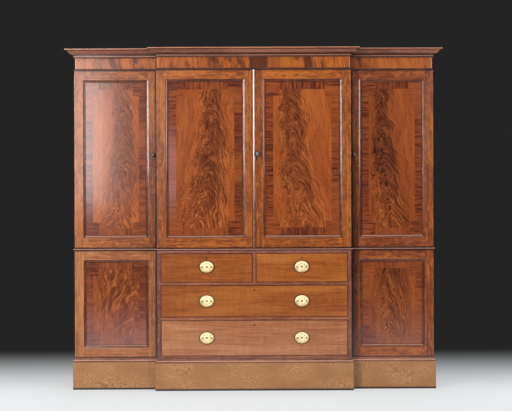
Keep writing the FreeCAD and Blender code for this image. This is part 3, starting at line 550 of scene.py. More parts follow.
def straight_grain(name, dark, middle, light, streak_width=plain_streak, ripple=0.3, tint=0.2, gloss=0.2,
                   coat=0.3, specular=0.5, clouds=0.6, lined=0.0, corners=0.0, halo=False, ledge_highlight=0.0,
                   highlight_shares=(), shade_shares=(), step_side=0, lee=0.0):
    """Plain mahogany: long streaks, open pores, a faint cross ripple and a tint for each board."""
    graph = Graph(name)
    dark = srgb(*dark)
    light = srgb(*light)
    along, across, depth, number = grain_place(graph)
    board = (along, across, depth)
    swayed = across + graph.noise((along, across, number), sway_scales, 1.0) * streak_sway
    streak_scales = (streak_scale, 1 / streak_width, 1 / streak_width)
    streak = graph.noise((along, swayed, depth), streak_scales, 5.0, 0.65)
    shade = graph.noise(board, shade_scales)
    cloud = graph.noise(board, cloud_scales, 4.0, 0.6, 0.6)
    pores = graph.fade(graph.noise(board, pore_scales, 1.0), 0.60, 0.72)
    colour = graph.mix(graph.fade(streak, 0.36, 0.62), dark, srgb(*middle))
    colour = graph.mix(graph.fade(shade, 0.45, 0.68, 0.0, 0.55), colour, light)
    colour = graph.mix(graph.fade(cloud, 0.5, 0.66, 0.0, clouds), colour, dark)
    colour = graph.mix(graph.fade(cloud, 0.48, 0.32, 0.0, clouds), colour, light)
    value = number * tint + (1.0 - tint / 2)
    value = value * (graph.noise(board, ripple_scales) * ripple + (1.0 - ripple / 2))
    # Painted highlight along each board's long edges
    edge_highlight = graph.fade(edge_room(graph, "board", 1), 0.0, arris_width, 1.0, 0.0)
    colour = graph.shaded(colour, value * (pores * -0.3 + 1.0) * (edge_highlight * 0.35 + 1.0))
    # Painted shade in narrow corners and joints, from how enclosed a point is
    painted_shades = [graph.fade(graph.nook(shade_reach), 0.2, 0.55, 0.0, 0.85)]
    # Painted shade along the doors' top and bottom edges
    if lined:
        painted_shades.append(graph.fade(edge_room(graph, "node", 2), 0.0, door_line_width, 1.0, 0.0) * lined)
    # Painted shade in wide corners, such as beside the breakfront and under the cornice
    if corners:
        painted_shades.append(graph.fade(graph.nook(corner_reach), 0.16, 0.42, 0.0, corners))
    # Painted shade: a dark line on a wing's stile beside the breakfront
    if step_side:
        beside = edge_room(graph, "node", 0, step_side)
        painted_shades.append(graph.fade(beside, step_line_start, step_line_end, 0.85, 0.0))
    # Painted shadow that the breakfront casts on the wing
    if lee:
        painted_shades.append(lee_shade(graph, step_side) * lee)
    for painted_shade in painted_shades:
        colour = graph.mix(painted_shade, colour, shade_and_grime_colour)
    # Painted highlight on faces that look up
    if ledge_highlight:
        colour = graph.mix(ledge(graph) * ledge_highlight, colour, highlight_colour)
    # Painted highlights and painted shade as level lines along a moulding
    for share, reach in highlight_shares:
        colour = graph.mix(level_line(graph, share, reach) * 0.7, colour, highlight_colour)
    for share, reach in shade_shares:
        colour = graph.mix(level_line(graph, share, reach) * 0.85, colour, shade_and_grime_colour)
    # Painted shadow round the drawer plates, also standing for old polish
    if halo:
        colour = graph.mix(handle_shadow(graph), colour, shade_and_grime_colour)
    graph.polish(colour, (streak + pores * 0.5) * 0.12 + gloss, coat, specular=specular)
    graph.bump(streak * 0.6 - pores, 0.25, grain_relief)
    return graph.material


def curly_grain(name, dark, middle, light):
    """Faded curly mahogany: soft clouds crossed by wandering rings, darker along the foot, with painted shade
    in its corners.
    """
    graph = Graph(name)
    along, across, _, number = grain_place(graph)
    swirl = graph.noise((along, across, number), swirl_scales, 3.0, 0.55, 1.5)
    rings = graph.math("SINE", swirl * curly_ring_turn)
    cloud = graph.noise((along, across, number + 4.0), curly_cloud_scales, 3.0)
    fine = graph.noise((along, across, number), curly_fine_scales, 3.0)
    colour = graph.mix(graph.fade(cloud, 0.34, 0.66), srgb(*middle), srgb(*light))
    shown = graph.fade(cloud, 0.42, 0.62, 0.2, 0.7)
    colour = graph.mix(graph.fade(rings, -0.2, 1.0) * shown, colour, srgb(*dark))
    foot = edge_room(graph, "board", 1, -1)
    colour = graph.mix(graph.fade(foot, foot_dark_start, foot_dark_end, 1.0, 0.0), colour, shade_and_grime_colour)
    colour = graph.mix(graph.fade(fine, 0.5, 0.75, 0.0, 0.4), colour, srgb(*dark))
    # Painted shade in narrow corners
    colour = graph.mix(graph.fade(graph.nook(shade_reach), 0.3, 0.75, 0.0, 0.85), colour, shade_and_grime_colour)
    graph.polish(colour, fine * 0.15 + 0.32, 0.15, 0.2)
    graph.bump(fine + rings * 0.05, 0.2, grain_relief)
    return graph.material


def crossband(graph, on_side, u, v, half_v, faded, seed):
    """Veneer laid across a border in short pieces, its grain upright above and below, level at the sides."""
    run = graph.choose(on_side, u, v)
    reach = graph.choose(on_side, v, u)
    strip = on_side * 2.0 + graph.math("SIGN", reach)
    wander = graph.noise((run, strip, seed), band_wander_scales, 1.0)
    cell = run * (1 / band_piece_length) + wander * 1.3
    piece = graph.dice(graph.math("FLOOR", cell), strip, seed)
    joint = graph.math("FRACT", cell) < band_joint_share
    tree = piece * 90.0 + seed
    lines = graph.noise((run, reach, tree), band_line_scales, 4.0, 0.65)
    waves = graph.noise((run, reach, tree), band_wave_scales, 3.0, 0.6)
    colour = graph.mix(graph.fade(lines * 0.4 + waves * 0.6, 0.38, 0.6), srgb(74, 33, 21), srgb(136, 70, 38))
    colour = graph.mix(graph.fade(piece, 0.45, 0.8, 0.0, 0.4), colour, srgb(154, 82, 40))
    colour = graph.mix(graph.fade(piece, 0.0, 0.4, 0.45, 0.0), colour, srgb(72, 32, 27))
    # A painted sheen on the left-hand strip of the border, strongest a little below the middle
    on_left = on_side * (u < 0.0)
    from_middle = abs(v + sheen_middle_share * half_v)
    sheen_share = graph.fade(from_middle, sheen_start_share * half_v, sheen_end_share * half_v, faded, 0.0)
    colour = graph.mix(on_left * sheen_share, colour, srgb(168, 114, 108))
    return graph.mix(joint * 0.5, colour, srgb(58, 27, 18)), lines


def flame(graph, half_u, half_v, u, v_up, seed, top, foot, bow, top_width, foot_width, slope, steepness, dark,
          ground, fineness=1.0, wild=1.0, opening=0.5):
    """Flame veneer: a dark ragged plume whose strands fall away from it on both sides in nested arches.

    top, foot and bow place its middle line, as shares of the half width. The widths are in metres. slope and
    steepness bend its strands into arches, fineness sets how close they lie, wild how far they stray, and
    opening the share of the height where pale strokes set in. dark sets the depth of the plume, and ground
    that of the rest.
    """
    down = half_v - v_up
    fall = down * (0.5 / half_v)
    slow = graph.noise((u, v_up, seed), flame_slow_scales) - 0.5
    quick = (graph.noise((u, v_up, seed + 5.0), flame_quick_scales, 3.0) - 0.5) * wild
    curl = (graph.noise((u, v_up, seed + 6.0), flame_curl_scales) - 0.5) * wild
    middle = fall * ((foot - top) * half_u) + top * half_u
    middle = middle + graph.math("SINE", fall * math.pi) * (bow * half_u)
    side = u - middle + slow * flame_sway
    away = abs(side) / (fall * (foot_width - top_width) + top_width)

    bent = side + (quick * strand_stray + curl * strand_curl)
    square = bent * bent
    arch = graph.math("SQRT", square + arch_rounding) * slope + square * steepness
    level = down - arch + quick * level_stray + curl * level_curl
    close = level * fineness
    hairs = graph.noise((close, bent, seed + 2.0), hair_scales, 4.0, 0.64)
    barbs = graph.noise((close, bent, seed), barb_scales, 3.0, 0.62)
    figure = graph.noise((bent, level, seed + 9.0), flame_ground_scales, 3.0)
    fine = graph.noise((bent, level, seed + 4.0), flame_fine_scales, 4.0, 0.6)
    stroke = (hairs - 0.5) * 5.4 + (barbs - 0.5) * 3.0

    body = graph.fade(away + quick * 1.3 + stroke * 0.4, 0.6, 1.25, 1.0, 0.0)
    spread = graph.fade(away, 0.7, 1.75, 1.0, 0.0)
    opened = graph.fade(fall, opening, opening + 0.45)
    column = body * (opened * -0.55 + 1.0)
    field = graph.mix(graph.fade(figure, 0.36, 0.66), srgb(146, 74, 36), srgb(166, 90, 43))
    field = graph.mix(graph.fade(fine, 0.44, 0.62, 0.0, 0.6), field, srgb(116, 55, 29))
    field = graph.mix(column * (0.82 * dark), field, srgb(82, 39, 26))
    pale = graph.fade(stroke, 0.15, 0.7) * (spread * (opened * 0.45 + 0.4))
    field = graph.mix(pale, field, srgb(186, 110, 54))
    deep = graph.fade(stroke, -0.1, -0.7) * spread
    field = graph.mix(deep * (0.92 * dark), field, srgb(54, 24, 15))
    return graph.shaded(field, ground), hairs


def flame_panel(name, seed, faded=0.0, floor_reflection=0.0, **plume):
    """A panel of flame veneer in a crossbanded border with re-entrant corners.

    faded is how strong a painted sheen lies on the left-hand border, and floor_reflection how strong a
    painted reflection of the floor lies on the foot.
    """
    low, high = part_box(name)
    half_u = (high.x - low.x) / 2 - panel_housing - panel_moulding_width
    half_v = (high.z - low.z) / 2 - panel_housing - panel_moulding_width
    graph = Graph(name + "_flame")
    v_up, u = graph.parts("board_place")[:2]
    field, hairs = flame(graph, half_u, half_v, u, v_up, seed, **plume)

    band = centre_band_width if "centre" in name else wing_band_width
    reach = band + notch_width
    edge_u = half_u - abs(u)
    edge_v = half_v - abs(v_up)
    inside = graph.math("MINIMUM", edge_u, edge_v)
    furthest = graph.math("MAXIMUM", edge_u, edge_v)
    clear = graph.math("MAXIMUM", furthest - reach, inside - reach)
    into_field = graph.math("MINIMUM", inside - band, clear)
    border, lines = crossband(graph, edge_u < reach, u, v_up, half_v, faded, seed)
    in_border = into_field < 0.0
    glue = abs(into_field) < glue_line_width / 2
    colour = graph.mix(in_border, field, border)
    colour = graph.mix(glue * 0.3, colour, srgb(52, 24, 16))
    # A painted reflection of the floor, growing towards the foot
    reflected = graph.fade(v_up, reflection_top_share * half_v, -half_v, 0.0, floor_reflection)
    colour = graph.mix(reflected, colour, srgb(150, 102, 98))
    # Painted shade on the panel's edges next to the moulding
    colour = graph.mix(graph.fade(inside, panel_shade_start, panel_shade_end, 0.6, 0.0), colour, shade_and_grime_colour)
    graph.polish(colour, hairs * 0.08 + 0.13, 0.4)
    graph.bump(graph.choose(in_border, hairs, lines), 0.12, veneer_relief)
    return graph.material


def frieze_veneer(name):
    """Flame veneer laid upright in sections along the frieze, each with its own dark patch."""
    graph = Graph(name)
    along, across, _, number = grain_place(graph)
    wander = graph.noise((along, number, 3.0), frieze_wander_scales, 1.0)
    cell = along * frieze_piece_scale + wander * 1.5
    piece = graph.dice(graph.math("FLOOR", cell), number, 1.0)
    joint = graph.math("FRACT", cell) < frieze_joint_share
    tree = piece * 50.0 + number
    leaning = along + across * frieze_lean_share
    patch = graph.noise((leaning, across, tree), frieze_patch_scales, 5.0, 0.62, 0.6)
    lines = graph.noise((leaning, across, tree), frieze_line_scales, 4.0, 0.65)
    colour = graph.mix(graph.fade(lines, 0.34, 0.66), srgb(143, 72, 31), srgb(189, 107, 44))
    colour = graph.mix(graph.fade(piece, 0.5, 1.0, 0.0, 0.4), colour, srgb(116, 54, 28))
    colour = graph.mix(graph.fade(patch, 0.46, 0.62, 0.0, 0.9), colour, srgb(72, 34, 21))
    colour = graph.mix(joint * 0.5, colour, srgb(60, 28, 18))
    # Painted highlight at the ends of each frieze board
    room = edge_room(graph, "board", 0)
    colour = graph.mix(graph.fade(room, 0.0, frieze_highlight_width, 0.8, 0.0), colour, highlight_colour)
    graph.polish(colour, lines * 0.1 + 0.2, 0.4, 0.12)
    graph.bump(lines, 0.2, veneer_relief)
    return graph.material


def planed_wood(name):
    """Bare planed oak and pine inside and behind, dusty brown with age."""
    graph = Graph(name)
    along, across, depth, number = grain_place(graph)
    rings = graph.noise((along, across, depth), planed_ring_scales, 4.0, 0.6)
    blotch = graph.noise((along, across, number), planed_blotch_scales)
    colour = graph.mix(graph.fade(rings, 0.36, 0.66), srgb(118, 82, 50), srgb(172, 130, 86))
    colour = graph.mix(graph.fade(blotch, 0.45, 0.8, 0.0, 0.5), colour, srgb(92, 64, 42))
    graph.polish(graph.shaded(colour, number * 0.26 + 0.86), rings * 0.2 + 0.55)
    graph.bump(rings, 0.35, planed_relief)
    return graph.material


def stamped_brass(name, pale, bright, tarnish, wear, metal):
    """Lacquered brass: bright where it is rubbed, brown in the recesses and in flecks."""
    graph = Graph(name)
    tarnish = srgb(*tarnish)
    fine = graph.noise(graph.place(), brass_fine_scales, 3.0)
    cloud = graph.noise(graph.place(), brass_cloud_scales)
    colour = graph.mix(graph.fade(cloud, 0.35, 0.7), srgb(*pale), srgb(*bright))
    colour = graph.mix(graph.fade(fine, 0.58, 0.75, 0.0, wear), colour, tarnish)
    colour = graph.mix(graph.fade(graph.nook(brass_grime_reach), 0.25, 0.7, 0.0, 0.85), colour, tarnish)
    colour = graph.mix(graph.attribute("tarnish", "Fac"), colour, tarnish)
    graph.put(graph.shader.inputs["Base Color"], colour)
    graph.shader.inputs["Metallic"].default_value = metal
    graph.put(graph.shader.inputs["Roughness"], cloud * 0.2 + 0.34)
    graph.bump(fine, 0.12, fine_relief)
    return graph.material


def turned_knob_wood(name):
    """Dark turned hardwood, worn glossy by hands."""
    graph = Graph(name)
    rings = graph.noise(graph.place(), knob_ring_scales, 3.0)
    colour = graph.mix(graph.fade(rings, 0.35, 0.7), srgb(20, 6, 6), srgb(52, 15, 13))
    graph.polish(colour, rings * 0.08 + 0.1, 1.0, 0.04, coat_ior=1.9, specular=0.8)
    graph.bump(rings, 0.1, fine_relief)
    return graph.material


# Materials of the nodes
# Door frames: painted shade along their top and bottom edges and in wide corners
door_frame = dict(clouds=0.75, lined=0.7, corners=0.6, tint=0.08)
fine_grain = dict(streak_width=fine_streak, ripple=0.1, tint=0.12)
broad_grain = dict(streak_width=broad_streak, ripple=0.1, tint=0.12, clouds=0.3)
drawer_grain = dict(
    streak_width=drawer_streak, ripple=0.4, tint=0.1, clouds=0.2, coat=0.4, halo=True,
)

# Plain mahoganies: their dark, middle and light colour, and what else sets them apart
mahoganies = {
    "frame": ((108, 52, 19), (150, 80, 26), (180, 104, 36), door_frame),
    # The left wing's frames: a painted dark line and a weak painted shadow beside the breakfront
    "left_frame": ((108, 52, 19), (150, 80, 26), (180, 104, 36), dict(door_frame, step_side=1, lee=0.25)),
    # The right wing's frames: a darker, redder copy of the frame wood that paints shade on that wing, with a
    # painted line and shadow beside the breakfront
    "red_frame": ((96, 43, 19), (138, 69, 27), (166, 92, 37), dict(door_frame, step_side=-1, lee=0.55)),
    # The left lower door's frame: a paler copy of the frame wood that paints the floor's reflection in its
    # polish
    "faded_frame": ((124, 68, 34), (168, 102, 54), (194, 130, 80), dict(
        door_frame, step_side=1, clouds=0.35,
    )),
    "panel_back": ((96, 48, 24), (140, 78, 40), (166, 100, 54), dict(streak_width=broad_streak)),
    # Mouldings: pale level lines are painted highlights, dark ones painted shade
    "waist": ((66, 30, 18), (96, 48, 29), (116, 65, 42), dict(
        fine_grain, highlight_shares=((0.6, 0.16),), shade_shares=((0.0, 0.3), (1.0, 0.25)),
    )),
    "frieze_bead": ((50, 22, 14), (84, 42, 27), (108, 60, 40), fine_grain),
    "panel_moulding": ((58, 27, 18), (98, 50, 30), (124, 68, 40), dict(
        fine_grain, gloss=0.12, coat=0.5, specular=0.3, ledge_highlight=0.7,
    )),
    "bead": ((92, 46, 28), (132, 72, 44), (158, 96, 60), dict(fine_grain, gloss=0.12)),
    "divider": ((94, 50, 32), (126, 72, 44), (146, 92, 60), dict(streak_width=edge_streak, clouds=0.4)),
    # The cornice also carries painted shade in its corners
    "cornice": ((104, 54, 36), (140, 78, 52), (160, 98, 68), dict(
        broad_grain, coat=0.35, corners=0.4, highlight_shares=((0.98, 0.06), (0.2, 0.05)),
        shade_shares=((0.86, 0.05), (0.36, 0.09), (0.0, 0.09)),
    )),
    "base_moulding": ((96, 50, 34), (138, 82, 58), (164, 108, 82), dict(
        broad_grain, coat=0.4, highlight_shares=((0.42, 0.16),), shade_shares=((0.04, 0.16), (0.98, 0.1)),
    )),
    "drawer": ((130, 68, 26), (154, 85, 34), (178, 111, 49), dict(drawer_grain, gloss=0.16)),
    # The bottom drawer: a paler copy of the drawer wood that paints the floor's reflection in its polish
    "faded": ((146, 87, 51), (167, 107, 66), (188, 130, 87), drawer_grain),
    "edge": ((42, 19, 12), (88, 44, 26), (120, 68, 39), dict(streak_width=edge_streak)),
    "side": ((84, 46, 36), (116, 68, 54), (136, 88, 72), {}),
}
mahogany = {
    name: straight_grain(name + "_mahogany", *colours, **settings)
    for name, (*colours, settings) in mahoganies.items()
}
plinth_wood = curly_grain("plinth_mahogany", (116, 73, 39), (154, 106, 61), (178, 128, 81))
frieze_wood = frieze_veneer("frieze_flame")
inner_wood = planed_wood("planed_wood")
knob_wood = turned_knob_wood("knob_hardwood")
brass = stamped_brass("lacquered_brass", (246, 224, 168), (255, 242, 202), (58, 48, 24), 0.12, 0.5)
bail_brass = stamped_brass("worn_brass", (206, 168, 96), (240, 214, 150), (58, 48, 24), 0.3, 0.7)
old_brass = stamped_brass("tarnished_brass", (150, 112, 62), (186, 146, 88), (70, 46, 24), 0.6, 0.8)
dark_brass = stamped_brass("blackened_brass", (44, 28, 20), (70, 48, 34), (22, 13, 10), 0.6, 0.6)

plumes = {
    "left_centre_door_panel": dict(
        seed=1.7, top=0.22, foot=-0.16, bow=0.12, top_width=0.055, foot_width=0.13,
        slope=1.7, steepness=8.0, dark=0.9, ground=0.96, faded=0.5,
    ),
    "right_centre_door_panel": dict(
        seed=8.3, top=-0.3, foot=0.16, bow=-0.12, top_width=0.055, foot_width=0.12,
        slope=1.7, steepness=8.0, dark=0.82, ground=1.0,
    ),
    "left_upper_door_panel": dict(
        seed=14.9, top=0.22, foot=-0.04, bow=0.2, top_width=0.05, foot_width=0.11,
        slope=1.7, steepness=9.0, dark=0.75, ground=1.04, faded=0.1,
    ),
    # The right wing's two panels have a darker ground, which paints shade on that wing
    "right_upper_door_panel": dict(
        seed=23.1, top=-0.3, foot=0.1, bow=-0.12, top_width=0.045, foot_width=0.09,
        slope=1.9, steepness=11.0, dark=1.0, ground=0.83,
    ),
    "left_lower_door_panel": dict(
        seed=31.7, top=0.3, foot=0.8, bow=0.1, top_width=0.14, foot_width=0.26, slope=1.1,
        steepness=3.0, dark=0.5, ground=0.74, fineness=0.55, wild=0.2, opening=-0.2, faded=0.05, floor_reflection=0.4,
    ),
    "right_lower_door_panel": dict(
        seed=42.3, top=-0.05, foot=0.0, bow=0.0, top_width=0.1, foot_width=0.12, slope=4.0,
        steepness=22.0, dark=0.95, ground=0.84, fineness=0.95, opening=0.0, floor_reflection=0.1,
    ),
}

wood_of_node = {
    "plinth_boards": plinth_wood,
    "base_moulding": mahogany["base_moulding"],
    "waist_moulding": mahogany["waist"],
    "frieze_bead": mahogany["frieze_bead"],
    "cornice_moulding": mahogany["cornice"],
    "frieze_boards": frieze_wood,
    "lower_carcase_boards": mahogany["frame"],
    "upper_carcase_boards": mahogany["frame"],
    "drawer_dividers": mahogany["divider"],
    "drawer_runners": inner_wood,
    "back_boards": inner_wood,
    "shelves_and_bearers": inner_wood,
    "linen_trays": inner_wood,
    "left_centre_door_frame": mahogany["frame"],
    "right_centre_door_frame": mahogany["frame"],
    "left_upper_door_frame": mahogany["left_frame"],
    "right_upper_door_frame": mahogany["red_frame"],
    "left_lower_door_frame": mahogany["faded_frame"],
    "right_lower_door_frame": mahogany["red_frame"],
}
for drawer in drawers:
    wood_of_node[drawer + "_front"] = mahogany["drawer"]
    wood_of_node[drawer + "_box"] = inner_wood
# The bottom drawer's paler wood paints the floor's reflection
wood_of_node["bottom_drawer_front"] = mahogany["faded"]


def write_boards(obj):
    """Give every corner its place on its board and its node, their half sizes, and its board's number."""
    mesh = obj.data
    draw = random.Random(obj.name)
    count = len(mesh.loops)
    node_low, node_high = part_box(obj.name)
    node_middle = (node_low + node_high) / 2
    vectors = {name: [0.0] * (3 * count) for name in ("board_place", "board_half", "node_place")}
    vectors["node_half"] = list((node_high - node_low) / 2) * count
    numbers = [0.0] * count
    for faces, low, high in solids_of(mesh):
        size = high - low
        order = sorted(range(3), key=lambda axis: -size[axis])
        middle = (low + high) / 2
        number = draw.random()
        for face in faces:
            for loop in mesh.polygons[face].loop_indices:
                corner = mesh.vertices[mesh.loops[loop].vertex_index].co
                point = corner - middle
                span = slice(3 * loop, 3 * loop + 3)
                vectors["board_place"][span] = [point[axis] for axis in order]
                vectors["board_half"][span] = [size[axis] / 2 for axis in order]
                vectors["node_place"][span] = corner - node_middle
                numbers[loop] = number
    for name, values in vectors.items():
        mesh.attributes.new(name, "FLOAT_VECTOR", "CORNER").data.foreach_set("vector", values)
    mesh.attributes.new("board_number", "FLOAT", "CORNER").data.foreach_set("value", numbers)


def dress(obj, *materials):
    """A node's materials, the first of them all over."""
    obj.data.materials.clear()
    for material in materials:
        obj.data.materials.append(material)


def dress_wood():
    """Grain and finish of every wooden node."""
    for name, wood in wood_of_node.items():
        write_boards(nodes[name])
        dress(nodes[name], wood)
    for name, plume in plumes.items():
        write_boards(nodes[name])
        dress(nodes[name], flame_panel(name, **plume), mahogany["panel_back"])
        for polygon in nodes[name].data.polygons:
            polygon.material_index = 1 if polygon.normal.y > 0 else 0


def dress_carcase():
    """Front edges of the lower boards are greyer than the sides. The top and the frieze's back are bare."""
    lower = nodes["lower_carcase_boards"].data
    lower.materials.append(mahogany["side"])
    for polygon in lower.polygons:
        if polygon.normal.y < -facing_share:
            polygon.material_index = 1
    upper = nodes["upper_carcase_boards"].data
    upper.materials.append(inner_wood)
    well_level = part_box("cornice_moulding")[0].z
    for faces, low, high in solids_of(upper):
        if (low.z + high.z) / 2 > well_level:
            paint(upper, faces, 1)
    cornice = nodes["cornice_moulding"].data
    cornice.materials.append(inner_wood)
    for polygon in cornice.polygons:
        if polygon.center.z > cad_high.z - top_reach:
            polygon.material_index = 1
    frieze = nodes["frieze_boards"].data
    frieze.materials.append(inner_wood)
    for faces, low, high in solids_of(frieze):
        is_rear = low.y > cad_high.y - rear_board_reach
        for face in faces:
            polygon = frieze.polygons[face]
            faces_back = polygon.normal.y > facing_share
            faces_inward = polygon.normal.x * math.copysign(1, polygon.center.x) < -facing_share
            faces_up = polygon.normal.z > facing_share
            if is_rear or faces_back or faces_inward or faces_up:
                polygon.material_index = 1


def dress_door_frames():
    """The mouldings round the panels and the bead where two doors meet have finishes of their own."""
    for door in doors:
        mesh = nodes[door + "_door_frame"].data
        mesh.materials.append(mahogany["panel_moulding"])
        mesh.materials.append(mahogany["bead"])
        panel_low, panel_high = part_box(door + "_door_panel")
        for faces, low, high in solids_of(mesh):
            size = sorted(high - low)
            if size[1] < moulding_most_width:
                is_bead = size[2] > panel_high.z - panel_low.z
                paint(mesh, faces, 2 if is_bead else 1)


def dress_cock_beads():
    """The beads round the drawer fronts are darker than the veneer."""
    for drawer in drawers:
        mesh = nodes[drawer + "_front"].data
        mesh.materials.append(mahogany["edge"])
        for faces, low, high in solids_of(mesh):
            if min(high - low) < cockbead_most_thickness:
                paint(mesh, faces, 1)


def dress_brass():
    """Brass on hinges, blackened brass on locks, turned wood on the knobs."""
    for name, obj in nodes.items():
        if name.endswith("_bolt"):
            dress(obj, old_brass)
        if name.endswith(("_brasses", "_bail")) or name == "carcase_hinge_leaves":
            dress(obj, brass)
        if name.endswith("_fittings"):
            dress(obj, brass, dark_brass, knob_wood)
            face_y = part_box(name.replace("_fittings", "_frame"))[0].y
            for faces, low, high in solids_of(obj.data):
                is_hinge = high.z - low.z > hinge_least_length and high.x - low.x < hinge_most_width
                is_knob = low.y < face_y - knob_least_rise
                paint(obj.data, faces, 0 if is_hinge else 2 if is_knob else 1)


# Brass pieces that replace the plain solids
def add_rings(mesh, rings):
    """Faces between rows of points, each row a closed ring, and over both ends."""
    rows = [[mesh.verts.new(point) for point in ring] for ring in rings]
    for near, far in zip(rows, rows[1:]):
        for index, corner in enumerate(near):
            after = (index + 1) % len(near)
            mesh.faces.new((corner, near[after], far[after], far[index]))
    mesh.faces.new(rows[0][::-1])
    mesh.faces.new(rows[-1])
    return rows


def add_turned(mesh, centre, axis, across, profile):
    """A turned shape: profile pairs are a distance along the axis and a radius."""
    other = axis.cross(across)
    rings = []
    for distance, radius in profile:
        ring = []
        for index in range(turned_segments):
            angle = math.tau * index / turned_segments
            spoke = across * math.cos(angle) + other * math.sin(angle)
            ring.append(centre + axis * distance + spoke * max(radius, least_radius))
        rings.append(ring)
    return add_rings(mesh, rings)


def finished(mesh, name, body, material):
    """The piece made of a bmesh, riding on a body."""
    bmesh.ops.recalc_face_normals(mesh, faces=mesh.faces)
    data = bpy.data.meshes.new(name)
    mesh.to_mesh(data)
    mesh.free()
    data.shade_smooth()
    data.set_sharp_from_angle(angle=math.radians(crease_degrees))
    data.materials.append(material)
    piece = bpy.data.objects.new(name, data)
    bpy.context.scene.collection.objects.link(piece)
    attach(piece, body)
    return piece


def swell(value, middle, reach):
    """A rounded rise: 1 in the middle, 0 at the reach and beyond."""
    return max(0.0, 1 - ((value - middle) / reach) ** 2)


def plate_rise(share, angle):
    """Height of the stamped relief: a rolled rim, a ring of beads, fluted leaves and a pierced boss."""
    field = plate_field_rise * min(1.0, max(0.0, (plate_field_share - share) / plate_slope_share))
    rim = plate_rim_rise * swell(share, *plate_rim_shares)
    bead = plate_bead_rise * swell(share, *plate_bead_shares)
    leaf = plate_leaf_rise * swell(share, *plate_leaf_shares)
    boss = plate_boss_rise * swell(share, *plate_boss_shares)
    hole = plate_hole_depth * swell(share, *plate_hole_shares)
    beaded = bead * (1 + math.cos(plate_bead_count * angle)) / 2
    fluted = leaf * abs(math.cos(plate_leaf_count * angle / 2))
    return plate_thickness + field + rim + beaded + fluted + boss - hole


def plate_tarnish(share, angle):
    """How dull a stamped plate is: its hole, its groove and a ring of punched marks."""
    groove = plate_groove_dulling * swell(share, *plate_groove_shares)
    mark = swell(share, *plate_mark_shares)
    marks = plate_mark_dulling * mark * max(0.0, math.cos(plate_mark_count * angle)) ** 2
    hole = plate_hole_dulling * swell(share, *plate_hole_shares)
    return min(1.0, groove + marks + hole)


def add_plate(mesh, centre):
    """A stamped oval plate on a drawer front."""
    tarnish = mesh.verts.layers.float["tarnish"]
    rings = []
    for step in range(plate_ring_count + 1):
        share = max(1 - step / plate_ring_count, least_share)
        ring = []
        for index in range(plate_segments):
            angle = math.tau * index / plate_segments
            x = plate_width / 2 * share * math.cos(angle)
            z = plate_height / 2 * share * math.sin(angle)
            ring.append(centre + Vector((x, -plate_rise(share, angle), z)))
        rings.append(ring)
    back = [Vector((point.x, centre.y, point.z)) for point in rings[0]]
    rows = add_rings(mesh, [back] + rings)
    for step, row in enumerate(rows[1:]):
        for index, vertex in enumerate(row):
            vertex[tarnish] = plate_tarnish(1 - step / plate_ring_count, math.tau * index / plate_segments)


def add_other_brasses(mesh, drawer):
    """Copy the solids of a drawer's brasses that aren't plates."""
    data = nodes[drawer + "_brasses"].data
    for faces, low, high in solids_of(data):
        if high.x - low.x < plate_width - plate_thickness:
            corners = {}
            for face in faces:
                points = [data.vertices[index].co for index in data.polygons[face].vertices]
                for point in points:
                    if spot(point) not in corners:
                        corners[spot(point)] = mesh.verts.new(point)
                mesh.faces.new([corners[spot(point)] for point in points]).material_index = 1


def make_handles():
    """Stamped plates and turned posts in place of the plain ones, with the drawer's other brasses."""
    front = Vector((0, -1, 0))
    across = Vector((1, 0, 0))
    post = [(along * post_radius, radius * post_radius) for along, radius in post_shares]
    for drawer in drawers:
        mesh = bmesh.new()
        tarnish = mesh.verts.layers.float.new("tarnish")
        add_other_brasses(mesh, drawer)
        for centre in handle_centres(drawer):
            add_plate(mesh, centre)
            for side in (-1, 1):
                axle = centre + across * (side * post_spacing / 2) + front * bail_stand_off
                for row in add_turned(mesh, axle, front, across, post):
                    for vertex in row:
                        vertex[tarnish] = post_dulling
        piece = finished(mesh, drawer + "_handle_set", drawer, brass)
        piece.data.materials.append(dark_brass)
        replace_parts(piece, drawer + "_brasses")


def bail_stations():
    """The middle line of a bail, from pivot to pivot: places across and up from its axis, and headings."""
    turn = math.radians(bail_turn_degrees)
    corner = bail_corner_radius
    shoulder = post_spacing / 2 + bail_shoulder
    sweep = corner + shoulder / math.sin(turn)
    sweep_rise = -corner - (sweep - corner) * math.cos(turn)
    stations = [(post_spacing / 2 - bail_pivot_inset, 0, 0)]
    for index in range(bail_corner_steps + 1):
        angle = turn * index / bail_corner_steps
        stations.append((shoulder + corner * math.sin(angle), corner * math.cos(angle) - corner, angle))
    for index in range(1, bail_sweep_steps + 1):
        angle = turn + (math.pi - turn) * index / bail_sweep_steps
        stations.append((sweep * math.sin(angle), sweep_rise + sweep * math.cos(angle), angle))
    mirrored = [(-across, up, math.tau - angle) for across, up, angle in reversed(stations[:-1])]
    return stations + mirrored


def make_bails():
    """Cast bails, thickest in the middle of the drop."""
    for name in nodes:
        if not name.endswith("_bail"):
            continue
        low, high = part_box(name)
        pivot = Vector(((low.x + high.x) / 2, (low.y + high.y) / 2, high.z - bail_radius))
        rings = []
        for across, up, angle in bail_stations():
            centre = pivot + Vector((across, 0, up))
            normal = Vector((math.sin(angle), 0, math.cos(angle)))
            radius = bail_radius * (bail_least_share + bail_swell_share * math.sin(angle / 2) ** 4)
            ring = []
            for index in range(bail_segments):
                spin = math.tau * index / bail_segments
                depth = Vector((0, radius * math.sin(spin), 0))
                ring.append(centre + normal * (radius * math.cos(spin)) + depth)
            rings.append(ring)
        mesh = bmesh.new()
        add_rings(mesh, rings)
        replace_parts(finished(mesh, name + "_cast", name, bail_brass), name)


